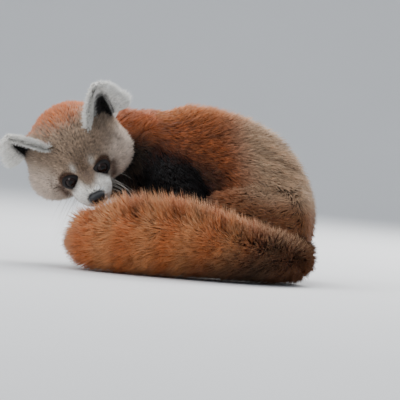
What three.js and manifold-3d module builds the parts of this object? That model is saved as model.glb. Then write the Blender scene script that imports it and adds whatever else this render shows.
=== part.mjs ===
// A red panda at rest, life size. It sits hunched on its haunches, with its head turned back over its
// left side and its tail laid round the front. Each part that a person would name is a solid of its own.
// Millimetres. +Z is up, +X runs from the head to the rump, and the left side is towards -Y. The origin
// is on the floor, under the middle of the animal.

import * as THREE from "three";
import { mergeVertices } from "three/addons/utils/BufferGeometryUtils.js";
import Module from "manifold-3d";

const wasm = await Module();
wasm.setup();

// Driving dimensions.

const GAP = 0.4; // kept between parts that touch
const MIDDLE_Y = 20; // the plane that halves the trunk
const HEAD = { place: [-147, -96, 113], roll: 28, pitch: 35, yaw: 3 }; // at the middle of the eyes
const EYE = { radius: 8.6, apart: 39, back: 1 };
const NOSE = { forward: 34, low: 13.5, wide: 9.8, tall: 7, deep: 7 };
const OUTLINE = 1; // the level of the coat's tips, as a share of a section

// Each station is a section's centre, then its half size along the form's reference direction, and its
// half sizes to the two sides across that.

const TRUNK = [
  [-104, 6, 148, 50, 54, 50],
  [-58, 15, 141, 64, 69, 64],
  [-8, 20, 134, 72, 77, 72],
  [40, 22, 118, 76, 77, 70],
  [72, 20, 87, 76, 67, 62],
  [88, 18, 50, 66, 51, 50],
  [94, 16, 6, 52, 40, 42],
];

const NECK = [
  [-72, 12, 148, 52, 52, 52],
  [-108, 4, 150, 51, 50, 50],
  [-142, -16, 147, 47, 47, 46],
  [-166, -40, 140, 42, 42, 42],
];

const TAIL = [
  [98, 14, 42, 24, 24, 24],
  [112, -22, 37, 27, 26, 26],
  [108, -62, 31, 29, 28, 28],
  [78, -98, 34, 34, 32, 31],
  [32, -120, 40, 41, 38, 37],
  [-26, -127, 47, 50, 43, 42],
  [-84, -128, 46, 49, 43, 42],
  [-130, -123, 40, 41, 38, 37],
  [-160, -115, 31, 29, 27, 27],
];
const TAIL_LENGTHS = [0.2, 0.47, 0.74]; // where the tail is parted, as shares of its length

// The second number of a leg's station is its distance outward from the middle plane.

const FORELEG = [
  [-66, 30, 146, 26, 30, 30],
  [-44, 50, 112, 27, 33, 33],
  [-22, 63, 72, 22, 26, 26],
  [-38, 70, 42, 19, 20, 20],
  [-62, 73, 20, 17, 16, 17],
];
const FOREPAW = [
  [-52, 72, 14, 14, 12, 13],
  [-76, 74, 12, 17, 12, 13],
  [-104, 75, 9, 18, 10, 11],
];
const THIGH = [
  [98, 22, 84, 24, 42, 42],
  [68, 46, 76, 38, 56, 54],
  [34, 58, 66, 36, 52, 50],
  [4, 64, 52, 26, 36, 36],
  [-14, 66, 42, 16, 20, 20],
];
const HINDPAW = [
  [92, 64, 15, 12, 14, 14],
  [58, 66, 13, 15, 13, 14],
  [18, 69, 12, 17, 12, 13],
  [-12, 70, 9, 18, 10, 11],
];
const LID = { across: 8.1, forward: 5.6, thick: 1.7, squeeze: 0.9, outward: 14 };
// The line of the mouth, from under the nose to a corner: turns and rises from the head's middle.
const MOUTH = [
  [0, -9],
  [0, -15],
  [8, -18.5],
  [17, -20.5],
  [28, -22],
  [36, -21],
];
const LIP = { ridge: 2.3, groove: 0.8 };

const TOE = { count: 5, radius: 6.2, ahead: -1, arch: 16, spread: 27 };
const CLAW = { long: 10, thick: 1.7, droop: 5 };

// Forms of the head in its own frame: x to its right side, y forward and z up from the middle of the
// eyes. Each is an ellipsoid's centre and its half sizes. Pairs are made from the right one.

const SKULL = [
  { at: [0, -56, 9], half: [54, 54, 54] },
  { at: [30, -38, -10], half: [33, 33, 29], pair: true },
  { at: [0, 1, -16], half: [24, 28, 19] },
  { at: [0, 20, -14], half: [15.5, 15, 12.5] },
  { at: [0, 2, -29], half: [16, 20, 10] },
  { at: [14, -16, 7], half: [14, 14, 11], pair: true },
];
const SKULL_BLEND = 4; // how far neighbouring forms melt into each other
const SKULL_MIDDLE = [0, -34, -8]; // inside all the forms: the head is drawn round this point

const EAR = {
  right: { root: [43, -52, 25], tip: [70, -46, 69], outward: 40 },
  left: { root: [-44, -52, 26], tip: [-54, -46, 86], outward: 30 },
  wide: 34,
  thick: 9,
  cup: 9,
};

const EAR_SHARES = [-0.45, -0.15, 0.1, 0.3, 0.5, 0.68, 0.82, 0.92, 0.975, 1]; // rings from root to tip

// Locks of fur. A core is the level at which a form's dense undercoat ends, and from it each lock runs
// with the lie of the coat and lifts its tip to the outline. Rows are spaced along the form, and no lock
// grows where the sine of its place round the form is under bare, as below the belly. A limb has locks
// on its outer side only.
const LOCKS = {
  trunk: { core: 0.85, rows: 5, from: 0.14, to: 0.74, around: 8, wide: 54, long: 70, thick: 6, bare: -0.6 },
  neck: { core: 0.84, rows: 2, from: 0.42, to: 0.82, around: 6, wide: 46, long: -46, thick: 5, bare: -2 },
  tail: { core: 0.62, rows: 7, from: 0.08, to: 0.8, around: 5, wide: 46, long: 64, thick: 7, bare: -2 },
  thigh: { core: 0.86, rows: 2, from: 0.16, to: 0.5, around: 5, wide: 42, long: 52, thick: 5, bare: -2 },
};
const LOCK_STATIONS = [0, 0.5, 1]; // along a lock, from its root to its tip
const CHEEK_LOCKS = { count: 5, wide: 30, long: 32, lift: 9 };
const EAR_TUFTS = { shares: [0.15, 0.42, 0.7], wide: 13, long: 16 };

// General helpers.

const vector = (x, y, z) => new THREE.Vector3(x, y, z);

// The solid inside a closed geometry, after each of its points moves out by grow along its normal, or
// along the way that the geometry states for it.
function solidOf(geometry, grow = 0) {
  const { ways } = geometry.userData;
  const bare = new THREE.BufferGeometry().setAttribute("position", geometry.getAttribute("position"));
  if (geometry.index) bare.setIndex(geometry.index);
  const merged = ways ? bare : mergeVertices(bare, 1e-3);
  if (!ways) merged.computeVertexNormals();
  const moves = ways ?? merged.getAttribute("normal").array;
  const points = merged.getAttribute("position").array.map((value, i) => value + grow * moves[i]);
  const faces = new Uint32Array(merged.index.array);
  return new wasm.Manifold(new wasm.Mesh({ numProp: 3, vertProperties: points, triVerts: faces }));
}

// The geometry of a solid, as one closed surface: the largest, if cutting left loose scraps.
function geometryOf(solid) {
  const bodies = solid.decompose().sort((a, b) => b.volume() - a.volume());
  const mesh = bodies[0].getMesh();
  const geometry = new THREE.BufferGeometry();
  geometry.setAttribute("position", new THREE.BufferAttribute(mesh.vertProperties, 3));
  geometry.setIndex(new THREE.BufferAttribute(mesh.triVerts, 1));
  geometry.computeVertexNormals();
  return geometry;
}

// A closed surface through rings of points. A ring of one point is a pole, and an open end is closed.
// Each ring runs anticlockwise as seen from the rings that follow it.
function closedTube(rings) {
  const points = rings.flat();
  const faces = [];
  let start = 0;
  rings.forEach((ring, i) => {
    const next = rings[i + 1];
    if (next) {
      const after = start + ring.length;
      const count = Math.max(ring.length, next.length);
      for (let j = 0; j < count; j++) {
        const k = (j + 1) % count;
        if (ring.length === 1) faces.push(start, after + k, after + j);
        else if (next.length === 1) faces.push(start + j, start + k, after);
        else faces.push(start + j, start + k, after + k, start + j, after + k, after + j);
      }
    }
    for (let j = 1; j < ring.length - 1; j++) {
      if (i === 0) faces.push(start, start + j + 1, start + j);
      if (i === rings.length - 1) faces.push(start, start + j, start + j + 1);
    }
    start += ring.length;
  });
  return new THREE.BufferGeometry().setFromPoints(points).setIndex(faces);
}

// Seeded chance, so that each build gives the same coat: a number from -1 to 1.
let seed = 20260;
function chance() {
  seed = (Math.imul(seed, 1664525) + 1013904223) >>> 0;
  return seed / 2147483648 - 1;
}

const SIDES = [
  ["left", -1],
  ["right", 1],
];
const bothSides = (make) => SIDES.map(([, side]) => make(side));

const circle = (count) => Array.from({ length: count }, (_, j) => (2 * Math.PI * j) / count);

// A form of changing oval section along a smooth path, with rounded ends.
class Form {
  constructor(stations, reference) {
    const curve = (from) =>
      new THREE.CatmullRomCurve3(
        stations.map((row) => vector(row[from], row[from + 1], row[from + 2])),
        false,
        "catmullrom",
        0.5,
      );
    this.path = curve(0);
    this.sizes = curve(3);
    this.reference = reference;
    this.length = this.path.getLength();
    this.ends = [0, 1].map((t) => this.sizes.getPoint(t).x);
  }

  // The section at a share u of the length: its centre, axes, half sizes and rounding.
  section(u) {
    const share = THREE.MathUtils.clamp(u, 0, 1);
    const t = this.path.getUtoTmapping(share);
    const along = this.path.getTangent(t);
    const first = this.reference.clone().addScaledVector(along, -this.reference.dot(along)).normalize();
    const second = along.clone().cross(first);
    const into = [share, 1 - share].map((s, i) => Math.max(0, 1 - (s * this.length) / this.ends[i]));
    const full = Math.sqrt(1 - into[0] ** 2) * Math.sqrt(1 - into[1] ** 2);
    const towards = into[0] > 0 ? -this.ends[0] : into[1] > 0 ? this.ends[1] : 0;
    return { centre: this.path.getPoint(t), along, first, second, half: this.sizes.getPoint(t), full, towards };
  }

  // The point at angle q round the section. Level 1 is the outline, and level 0 the path.
  at(u, q, level = OUTLINE) {
    const s = this.section(u);
    const across = Math.sin(q) > 0 ? s.half.y : s.half.z;
    return s.centre
      .addScaledVector(s.along, Math.sqrt(1 - s.full ** 2) * (level - 1) * s.towards)
      .addScaledVector(s.first, s.half.x * level * s.full * Math.cos(q))
      .addScaledVector(s.second, across * level * s.full * Math.sin(q));
  }

  // The closed surface at one level, with more rings where an end rounds off.
  surface({ around, along, level = OUTLINE }) {
    const capRings = Math.max(2, Math.round(around / 5));
    const shares = [0];
    const cap = this.ends.map((size) => size / this.length);
    for (let i = 1; i <= capRings; i++) shares.push(cap[0] * (1 - Math.cos((i * Math.PI) / 2 / capRings)));
    for (let i = 1; i < along; i++) shares.push(cap[0] + ((1 - cap[0] - cap[1]) * i) / along);
    for (let i = capRings; i >= 1; i--) shares.push(1 - cap[1] * (1 - Math.cos((i * Math.PI) / 2 / capRings)));
    shares.push(1);
    const last = shares.length - 1;
    return closedTube(
      shares.map((u, i) => (i % last ? circle(around) : [0]).map((q) => this.at(u, q, level))),
    );
  }
}

// A flat tapered blade through frames of a place, an outward and a sideways direction. Its thin edges
// and its tip grow by more than its faces, so that a grown blade clears the first one all round.
const EDGE_GROWTH = 4;
function blade(frames, wide, thick) {
  const ahead = frames.at(-1).place.clone().sub(frames.at(-2).place).normalize().multiplyScalar(EDGE_GROWTH);
  const ways = [];
  const rings = frames.map(({ place, out, side, share }) => {
    if (share === 1) {
      ways.push(ahead);
      return [place];
    }
    const half = (wide / 2) * (1 - share ** 2 * 0.75);
    const deep = (thick / 2) * (1 - share * 0.6);
    return [0, 1, 2, 3].map((i) => {
      const way = (i % 2 ? side : out).clone().multiplyScalar(i < 2 ? 1 : -1);
      ways.push(way.clone().multiplyScalar(i % 2 ? EDGE_GROWTH : 1));
      return place.clone().addScaledVector(way, i % 2 ? half : deep);
    });
  });
  const geometry = closedTube(rings);
  geometry.userData.ways = ways.flatMap((way) => way.toArray());
  return geometry;
}

// A lock on a form, rooted at a share u of its length and an angle q round it. It runs back up the form
// if long is negative.
function lockOn(form, u, q, { core, long, wide, thick }) {
  const [bend, tip] = [chance() * 0.12, OUTLINE + chance() * 0.03];
  const size = 1 + 0.15 * chance();
  const frames = LOCK_STATIONS.map((share) => {
    const at = THREE.MathUtils.clamp(u + (share * long * size) / form.length, 0.04, 0.96);
    const level = core - 0.03 + (tip - core + 0.03) * (1 - (1 - share) ** 1.7);
    const angle = q + bend * share;
    const { first, second } = form.section(at);
    const out = first.clone().multiplyScalar(Math.cos(angle)).addScaledVector(second, Math.sin(angle));
    const side = second.clone().multiplyScalar(Math.cos(angle)).addScaledVector(first, -Math.sin(angle));
    return { place: form.at(at, angle, level), out, side: side.multiplyScalar(Math.sign(long)), share };
  });
  return blade(frames, wide * size, thick);
}

// A form's dense core, and rows of locks over it that lie like tiles.
function coated(form, density, plan, side = 0) {
  const locks = Array.from({ length: plan.rows }, (_, row) => {
    const u = plan.from + ((plan.to - plan.from) * row) / (plan.rows - 1);
    const turns = circle(plan.around).map((q) => q + ((row % 2) * Math.PI) / plan.around + chance() * 0.08);
    const kept = turns.filter((q) => Math.sin(q) > plan.bare && side * Math.cos(q) >= 0);
    return kept.map((q) => lockOn(form, u + chance() * 0.008, q, plan));
  });
  return [form.surface({ ...density, level: plan.core }), ...locks.flat()];
}

// The long forms. Each part is a list of closed geometries that join, and they can be grown to cut its
// neighbours clear.

const SIDEWAYS = vector(0, 1, 0);
const UPWARD = vector(0, 0, 1);

const trunk = new Form(TRUNK, SIDEWAYS);
const neck = new Form(NECK, UPWARD);
const tail = new Form(TAIL, UPWARD);

// A leg's stations on one side of the middle plane: -1 is the left and 1 the right.
function legForm(stations, side) {
  return new Form(
    stations.map(([x, out, z, ...half]) => [x, MIDDLE_Y + side * out, z, ...half]),
    SIDEWAYS,
  );
}

const FLOOR_BLOCK = 900; // wider than the animal
function floorSolid() {
  return solidOf(new THREE.BoxGeometry(FLOOR_BLOCK, FLOOR_BLOCK, FLOOR_BLOCK).translate(0, 0, -FLOOR_BLOCK / 2));
}
const floor = floorSolid();
const whole = (geometries, grow = 0) =>
  wasm.Manifold.union(geometries.map((geometry) => solidOf(geometry, grow)));
const clearOf = (solid, others) => others.reduce((left, other) => left.subtract(other), solid.subtract(floor));

// The head.

const headForms = SKULL.flatMap((form) => {
  const mirrored = { at: [-form.at[0], form.at[1], form.at[2]], half: form.half };
  return form.pair ? [form, mirrored] : [form];
});

// How far a point of the head's frame lies outside the skull's blended forms.
function outsideHead(point) {
  const sum = headForms.reduce((total, { at, half }) => {
    const from = [point.x - at[0], point.y - at[1], point.z - at[2]];
    const distance = Math.hypot(...from);
    const scaled = Math.hypot(from[0] / half[0], from[1] / half[1], from[2] / half[2]);
    return total + Math.exp((distance / Math.max(scaled, 1e-6) - distance) / SKULL_BLEND);
  }, 0);
  return -SKULL_BLEND * Math.log(sum);
}

// The point of the head's surface in a direction from its middle, found by halving.
function headPoint(direction) {
  const middle = vector(...SKULL_MIDDLE);
  let [near, far] = [0, 140];
  for (let i = 0; i < 24; i++) {
    const half = (near + far) / 2;
    if (outsideHead(middle.clone().addScaledVector(direction, half)) < 0) near = half;
    else far = half;
  }
  return middle.addScaledVector(direction, near);
}

// A direction in the head's frame: turn from straight ahead to the right side, then rise.
function lookingTo(turn, rise) {
  const [a, b] = [THREE.MathUtils.degToRad(turn), THREE.MathUtils.degToRad(rise)];
  return vector(Math.sin(a) * Math.cos(b), Math.cos(a) * Math.cos(b), Math.sin(b));
}

const HEAD_AROUND = 24;
const HEAD_RINGS = 18;

// The skull's surface, in rings from the nose's end to the back of the head.
function headSurface() {
  const rings = Array.from({ length: HEAD_RINGS + 1 }, (_, i) => {
    const open = Math.PI * (i / HEAD_RINGS) ** 1.15;
    const qs = i % HEAD_RINGS ? circle(HEAD_AROUND) : [0];
    return qs.map((q) => {
      const way = vector(Math.sin(open) * Math.cos(q), Math.cos(open), -Math.sin(open) * Math.sin(q));
      return headPoint(way);
    });
  });
  return closedTube(rings.reverse());
}

// A lock on the cheek, from a turn and a rise about the head's middle, back and away from the face.
function cheekLock(side, rise) {
  const frames = LOCK_STATIONS.map((share) => {
    const turn = side * (62 + (share * CHEEK_LOCKS.long * 57.3) / 62);
    const out = lookingTo(turn, rise);
    const lift = -2.5 + (CHEEK_LOCKS.lift + 2.5 + 2 * chance() * share) * (1 - (1 - share) ** 1.6);
    return { place: headPoint(out).addScaledVector(out, lift), out, side: UPWARD.clone().multiplyScalar(side), share };
  });
  return blade(frames, CHEEK_LOCKS.wide, 5);
}

function cheekLocks(side) {
  return Array.from({ length: CHEEK_LOCKS.count }, (_, i) => cheekLock(side, -52 + (i * 76) / (CHEEK_LOCKS.count - 1)));
}

function eyePlace(side) {
  return vector((side * EYE.apart) / 2, -EYE.back, 0);
}

function eyeBall(side) {
  return new THREE.SphereGeometry(EYE.radius, 14, 10).translate(...eyePlace(side).toArray());
}

// The lids: a raised rim round the eye, turned a little outward.
function lids(side) {
  const rim = new THREE.TorusGeometry(LID.across, LID.thick, 5, 14).rotateX(-Math.PI / 2);
  rim.scale(1, 1, LID.squeeze).translate(0, LID.forward, 0);
  return rim.rotateZ(THREE.MathUtils.degToRad(-side * LID.outward)).translate(...eyePlace(side).toArray());
}

// A thin tube along one half of the line of the mouth.
function mouthTube(side, radius) {
  const stations = MOUTH.map(([turn, rise]) => {
    const place = headPoint(lookingTo(side * turn, rise));
    return [...place.toArray(), radius, radius, radius];
  });
  return new Form(stations, SIDEWAYS).surface({ around: 6, along: 6 });
}

// The opening of a nostril: a round mouth and a slit that trails to the side.
function nostril(side) {
  const mouth = new THREE.SphereGeometry(1, 7, 5).scale(2, 3.4, 1.7).translate(side * 4, NOSE.forward + 6, -NOSE.low - 1.2);
  const slit = new THREE.SphereGeometry(1, 6, 4).scale(2.4, 3, 0.8).translate(side * 6.6, NOSE.forward + 4.4, -NOSE.low - 2.2);
  return [mouth, slit];
}

// The bare leather of the nose: a rounded pad, wider at the top.
function nosePad() {
  const pad = new THREE.SphereGeometry(1, 14, 10);
  const p = pad.getAttribute("position");
  for (let i = 0; i < p.count; i++) p.setX(i, p.getX(i) * (1 + 0.22 * p.getZ(i)));
  return pad.scale(NOSE.wide, NOSE.deep, NOSE.tall).translate(0, NOSE.forward, -NOSE.low);
}

// An ear: a cupped triangular shell with a rounded tip, from a root sunk in the head.
function earParts(side) {
  const { root, tip, outward } = side > 0 ? EAR.right : EAR.left;
  const up = vector(...tip).sub(vector(...root));
  const height = up.length();
  up.normalize();
  const facing = lookingTo(side * outward, 0);
  facing.addScaledVector(up, -facing.dot(up)).normalize();
  const wide = facing.clone().cross(up);
  const tuft = (v, edge) => {
    const share = Math.max(0, 1 - v ** 1.4) ** 0.7;
    const open = THREE.MathUtils.smoothstep(v, -0.2, 0.3) * share;
    const rim = vector(...root).addScaledVector(up, v * height);
    rim.addScaledVector(wide, edge * (EAR.wide * share - 3)).addScaledVector(facing, EAR.cup * open * 0.8);
    const way = up.clone().multiplyScalar(0.8).addScaledVector(wide, edge * (0.75 + 0.15 * chance()));
    const across = up.clone().multiplyScalar(-0.6 * edge).addScaledVector(wide, 0.6);
    const frames = LOCK_STATIONS.map((s) => {
      const place = rim.clone().addScaledVector(way.clone().normalize(), (s - 0.25) * EAR_TUFTS.long);
      return { place, out: facing, side: across.clone().normalize().multiplyScalar(-1), share: s };
    });
    return blade(frames, EAR_TUFTS.wide, 3);
  };
  const rings = EAR_SHARES.map((v) => {
    const share = Math.max(0, 1 - Math.max(v, 0) ** 1.4) ** 0.7;
    const centre = vector(...root).addScaledVector(up, v * height);
    if (share === 0 || v === EAR_SHARES[0]) return [centre];
    const open = THREE.MathUtils.smoothstep(v, -0.2, 0.3) * share;
    return circle(16).map((q) => {
      const [c, s] = [Math.cos(q), Math.sin(q)];
      const thick = EAR.thick * (0.2 + 0.3 * share);
      const bend = EAR.cup * open * (c * c - (s > 0 ? 0.75 : 0.1) * (1 - c * c));
      return centre
        .clone()
        .addScaledVector(wide, EAR.wide * share * c)
        .addScaledVector(facing, bend + thick * s);
    });
  });
  const tufts = EAR_TUFTS.shares.flatMap((v) => [tuft(v, -1), tuft(v, 1)]);
  return [closedTube(rings), ...tufts];
}

// Legs and paws.

function paw(stations, side) {
  const form = legForm(stations, side);
  const last = form.path.getPoint(1);
  const toes = Array.from({ length: TOE.count }, (_, i) => {
    const across = i / (TOE.count - 1) - 0.5;
    const reach = TOE.ahead - TOE.arch * across ** 2;
    const centre = last.clone().add(vector(-reach, side * across * TOE.spread, -2.5));
    const toe = new THREE.SphereGeometry(1, 7, 4).rotateZ(Math.PI / 2);
    toe.scale(TOE.radius * 1.5, TOE.radius * 0.85, TOE.radius).translate(...centre.toArray());
    return [toe, claw(centre)];
  });
  return [form.surface({ around: 10, along: 3 }), ...toes.flat()];
}

// A claw: a tapered, four-sided hook that leaves the toe and droops to the floor.
function claw(toe) {
  const rings = [0, 0.6, 1].map((v) => {
    const place = vector(toe.x - (TOE.radius + CLAW.long) * v, toe.y, toe.z + 1.5 - CLAW.droop * v * v);
    const half = CLAW.thick * (1.1 - v);
    return v === 1 ? [place] : circle(4).map((q) => place.clone().add(vector(0, -half * Math.cos(q), half * Math.sin(q))));
  });
  return closedTube(rings);
}

// Materials, as the coat shows them.

const finish = (color, roughness) => new THREE.MeshStandardMaterial({ color, roughness, metalness: 0 });
const russet = finish("#9a5a34", 0.9);
const tan = finish("#8c7764", 0.9);
const dark = finish("#1d1614", 0.9);
const orange = finish("#b0602c", 0.9);
const cream = finish("#d9d4c8", 0.9);
const leather = finish("#15161b", 0.5);
const wetDark = finish("#0c0a0a", 0.05);

const panda = new THREE.Group();
const headFrame = new THREE.Group();

// Turns and places the head: it rolls about the line to the viewer, bows, then turns to one side.
function placeHead() {
  const [roll, pitch, yaw] = [HEAD.roll, HEAD.pitch, HEAD.yaw].map(THREE.MathUtils.degToRad);
  const left = vector(Math.cos(roll), 0, Math.sin(roll));
  const upright = vector(-Math.sin(roll), 0, Math.cos(roll));
  const ahead = vector(0, -1, 0).multiplyScalar(Math.cos(pitch)).addScaledVector(upright, -Math.sin(pitch));
  const up = upright.clone().multiplyScalar(Math.cos(pitch)).addScaledVector(vector(0, -1, 0), Math.sin(pitch));
  const turned = ahead.clone().multiplyScalar(Math.cos(yaw)).addScaledVector(left, Math.sin(yaw));
  const rightSide = turned.clone().cross(up);
  headFrame.matrixAutoUpdate = false;
  headFrame.matrix.makeBasis(rightSide, turned, up).setPosition(...HEAD.place);
}
placeHead();
panda.add(headFrame);
const inBody = (solid) => solid.transform(headFrame.matrix.elements);

function addPart(parent, name, solid, material) {
  const mesh = new THREE.Mesh(geometryOf(solid), material);
  mesh.name = name;
  parent.add(mesh);
}


// The parts, made once, so that a part and the cutter that clears its neighbours share their locks.
const ears = bothSides(earParts);
const headParts = [
  headSurface(),
  ...bothSides(lids),
  ...bothSides((side) => mouthTube(side, LIP.ridge)),
  ...bothSides(cheekLocks).flat(),
];
const trunkParts = coated(trunk, { around: 20, along: 8 }, LOCKS.trunk);
const neckParts = coated(neck, { around: 14, along: 3 }, LOCKS.neck);
const tailParts = coated(tail, { around: 10, along: 14 }, LOCKS.tail);
const thighs = bothSides((side) => coated(legForm(THIGH, side), { around: 14, along: 4 }, LOCKS.thigh, side));
const forelegs = bothSides((side) => [legForm(FORELEG, side).surface({ around: 12, along: 7 })]);
const forepaws = bothSides((side) => paw(FOREPAW, side));
const hindpaws = bothSides((side) => paw(HINDPAW, side));

function addHead() {
  const inner = whole([nosePad(), ...bothSides(eyeBall)], GAP);
  const mouth = whole(bothSides((side) => mouthTube(side, LIP.groove)));
  const headGrown = whole(headParts, GAP);
  addPart(headFrame, "head", whole(headParts).subtract(inner).subtract(mouth), tan);
  addPart(headFrame, "nose", whole([nosePad()]).subtract(whole(bothSides(nostril).flat())), leather);
  SIDES.forEach(([name, side], i) => {
    addPart(headFrame, "eye_" + name, whole([eyeBall(side)]), wetDark);
    addPart(headFrame, "ear_" + name, whole(ears[i]).subtract(headGrown), cream);
  });
}

// A slab a gap thick across the tail, from its middle outwards.
function tailCut(share) {
  const { centre, along } = tail.section(share);
  const size = 160;
  const slab = new THREE.BoxGeometry(size, size, GAP).applyQuaternion(
    new THREE.Quaternion().setFromUnitVectors(UPWARD, along),
  );
  return solidOf(slab.translate(...centre.toArray()));
}

// The tail's lengths, in order from the root, after thin cuts across it.
function tailLengths(solid) {
  const pieces = TAIL_LENGTHS.reduce((left, share) => left.subtract(tailCut(share)), solid).decompose();
  const ends = [0, ...TAIL_LENGTHS, 1];
  return ends.slice(1).map((end, i) => {
    const { x, y, z } = tail.section((ends[i] + end) / 2).centre;
    const reach = (piece) => {
      const { min, max } = piece.boundingBox();
      return Math.hypot((min[0] + max[0]) / 2 - x, (min[1] + max[1]) / 2 - y, (min[2] + max[2]) / 2 - z);
    };
    return pieces.sort((a, b) => reach(a) - reach(b))[0];
  });
}

function addBody() {
  const head = inBody(whole([...headParts, nosePad(), ...ears.flat()], GAP));
  const trunkGrown = whole(trunkParts, GAP);
  const neckGrown = whole(neckParts, GAP);
  const common = [head, trunkGrown, whole(tailParts, GAP)];
  addPart(panda, "torso", clearOf(whole(trunkParts), [head]), russet);
  addPart(panda, "neck", clearOf(whole(neckParts), [head, trunkGrown]), russet);
  const tailNames = ["tail_root", "tail_base", "tail_middle", "tail_end"];
  const wholeTail = clearOf(whole(tailParts), [head, trunkGrown]);
  tailLengths(wholeTail).forEach((piece, i) => addPart(panda, tailNames[i], piece, orange));
  SIDES.forEach(([name], i) => {
    const thigh = whole(thighs[i], GAP);
    const hindpaw = whole(hindpaws[i], GAP);
    addPart(panda, "hindleg_" + name, clearOf(whole(thighs[i]), common), russet);
    addPart(panda, "hindpaw_" + name, clearOf(whole(hindpaws[i]), [...common, thigh]), dark);
    const upper = clearOf(whole(forelegs[i]), [...common, neckGrown, thigh, hindpaw]);
    addPart(panda, "foreleg_" + name, upper, dark);
    const foot = clearOf(whole(forepaws[i]), [...common, whole(forelegs[i], GAP), hindpaw]);
    addPart(panda, "forepaw_" + name, foot, dark);
  });
}

addHead();
addBody();

// Moves the origin to the floor under the middle of the animal.
panda.updateMatrixWorld(true);
const { min, max } = new THREE.Box3().setFromObject(panda, true);
panda.position.set(-(min.x + max.x) / 2, -(min.y + max.y) / 2, 0);

export default panda;
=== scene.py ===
"""A red panda at rest, with its head turned back over its side and its tail round its front.

One skin stands for the flesh. The coat is solid tufts over it, which follow the lie of the hair.
Shapes are worked out in millimetres from the same measures as the solids, and set in metres.
"""

import math

import bpy
import numpy as np
from mathutils import Matrix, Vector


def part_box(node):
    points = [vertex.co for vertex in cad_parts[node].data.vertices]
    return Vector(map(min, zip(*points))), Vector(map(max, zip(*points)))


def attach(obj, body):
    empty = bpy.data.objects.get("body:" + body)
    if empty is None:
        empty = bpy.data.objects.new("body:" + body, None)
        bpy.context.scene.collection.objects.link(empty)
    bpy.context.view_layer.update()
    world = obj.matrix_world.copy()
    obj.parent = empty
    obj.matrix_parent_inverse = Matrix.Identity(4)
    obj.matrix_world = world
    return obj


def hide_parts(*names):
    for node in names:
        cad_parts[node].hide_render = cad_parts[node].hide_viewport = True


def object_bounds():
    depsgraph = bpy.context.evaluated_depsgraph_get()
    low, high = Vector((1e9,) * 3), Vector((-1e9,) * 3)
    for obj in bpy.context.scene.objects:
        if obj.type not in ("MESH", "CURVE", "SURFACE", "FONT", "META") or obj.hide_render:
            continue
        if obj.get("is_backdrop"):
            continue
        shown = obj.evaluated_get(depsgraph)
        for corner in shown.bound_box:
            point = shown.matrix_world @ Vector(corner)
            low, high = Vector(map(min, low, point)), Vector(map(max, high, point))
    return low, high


bl_info = {
    "name": "Resting red panda",
    "version": (1, 0, 0),
    "blender": (4, 5, 0),
    "location": "3D View > Sidebar > Red panda",
    "description": "Skin, coat, eyes, nose, claws and whiskers of a life-size red panda",
    "category": "Add Mesh",
}

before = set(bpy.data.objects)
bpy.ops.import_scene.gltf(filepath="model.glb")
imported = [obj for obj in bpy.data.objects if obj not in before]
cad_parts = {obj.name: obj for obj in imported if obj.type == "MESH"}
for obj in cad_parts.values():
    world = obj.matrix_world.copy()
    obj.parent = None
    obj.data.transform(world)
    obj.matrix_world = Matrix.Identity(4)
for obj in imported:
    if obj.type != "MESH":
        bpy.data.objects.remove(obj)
CAD_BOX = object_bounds()

# Measures in millimetres, in the animal's own frame: its head is towards -X and its left side is towards
# -Y. A station is a section's centre, its half size along a reference direction and its half sizes to
# the two sides across that, out to the tips of the coat.

MIDDLE_Y = 20.0
EYE_PLACE = (-147.0, -96.0, 113.0)
HEAD_ROLL, HEAD_PITCH, HEAD_YAW = 28.0, 35.0, 3.0
SIDEWAYS = (0.0, 1.0, 0.0)
UPWARD = (0.0, 0.0, 1.0)

TRUNK = [
    [-104, 6, 148, 50, 54, 50],
    [-58, 15, 141, 64, 69, 64],
    [-8, 20, 134, 72, 77, 72],
    [40, 22, 118, 76, 77, 70],
    [72, 20, 87, 76, 67, 62],
    [88, 18, 50, 66, 51, 50],
    [94, 16, 6, 52, 40, 42],
]
NECK = [
    [-72, 12, 148, 52, 52, 52],
    [-108, 4, 150, 51, 50, 50],
    [-142, -16, 147, 47, 47, 46],
    [-166, -40, 140, 42, 42, 42],
]
TAIL = [
    [98, 14, 42, 24, 24, 24],
    [112, -22, 37, 27, 26, 26],
    [108, -62, 31, 29, 28, 28],
    [78, -98, 34, 34, 32, 31],
    [32, -120, 40, 41, 38, 37],
    [-26, -127, 47, 50, 43, 42],
    [-84, -128, 46, 49, 43, 42],
    [-130, -123, 40, 41, 38, 37],
    [-160, -115, 31, 29, 27, 27],
]
# The second number of a leg's station is its distance outward from the middle plane.
FORELEG = [
    [-66, 30, 146, 26, 30, 30],
    [-44, 50, 112, 27, 33, 33],
    [-22, 63, 72, 22, 26, 26],
    [-38, 70, 42, 19, 20, 20],
    [-62, 73, 20, 17, 16, 17],
]
FOREPAW = [[-52, 72, 14, 14, 12, 13], [-76, 74, 12, 17, 12, 13], [-104, 75, 9, 18, 10, 11]]
THIGH = [
    [98, 22, 84, 24, 42, 42],
    [68, 46, 76, 38, 56, 54],
    [34, 58, 66, 36, 52, 50],
    [4, 64, 52, 26, 36, 36],
    [-14, 66, 42, 16, 20, 20],
]
HINDPAW = [
    [92, 64, 15, 12, 14, 14],
    [58, 66, 13, 15, 13, 14],
    [18, 69, 12, 17, 12, 13],
    [-12, 70, 9, 18, 10, 11],
]
TOE_COUNT, TOE_RADIUS, TOE_AHEAD, TOE_ARCH, TOE_SPREAD = 5, 6.2, -1.0, 16.0, 27.0

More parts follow.
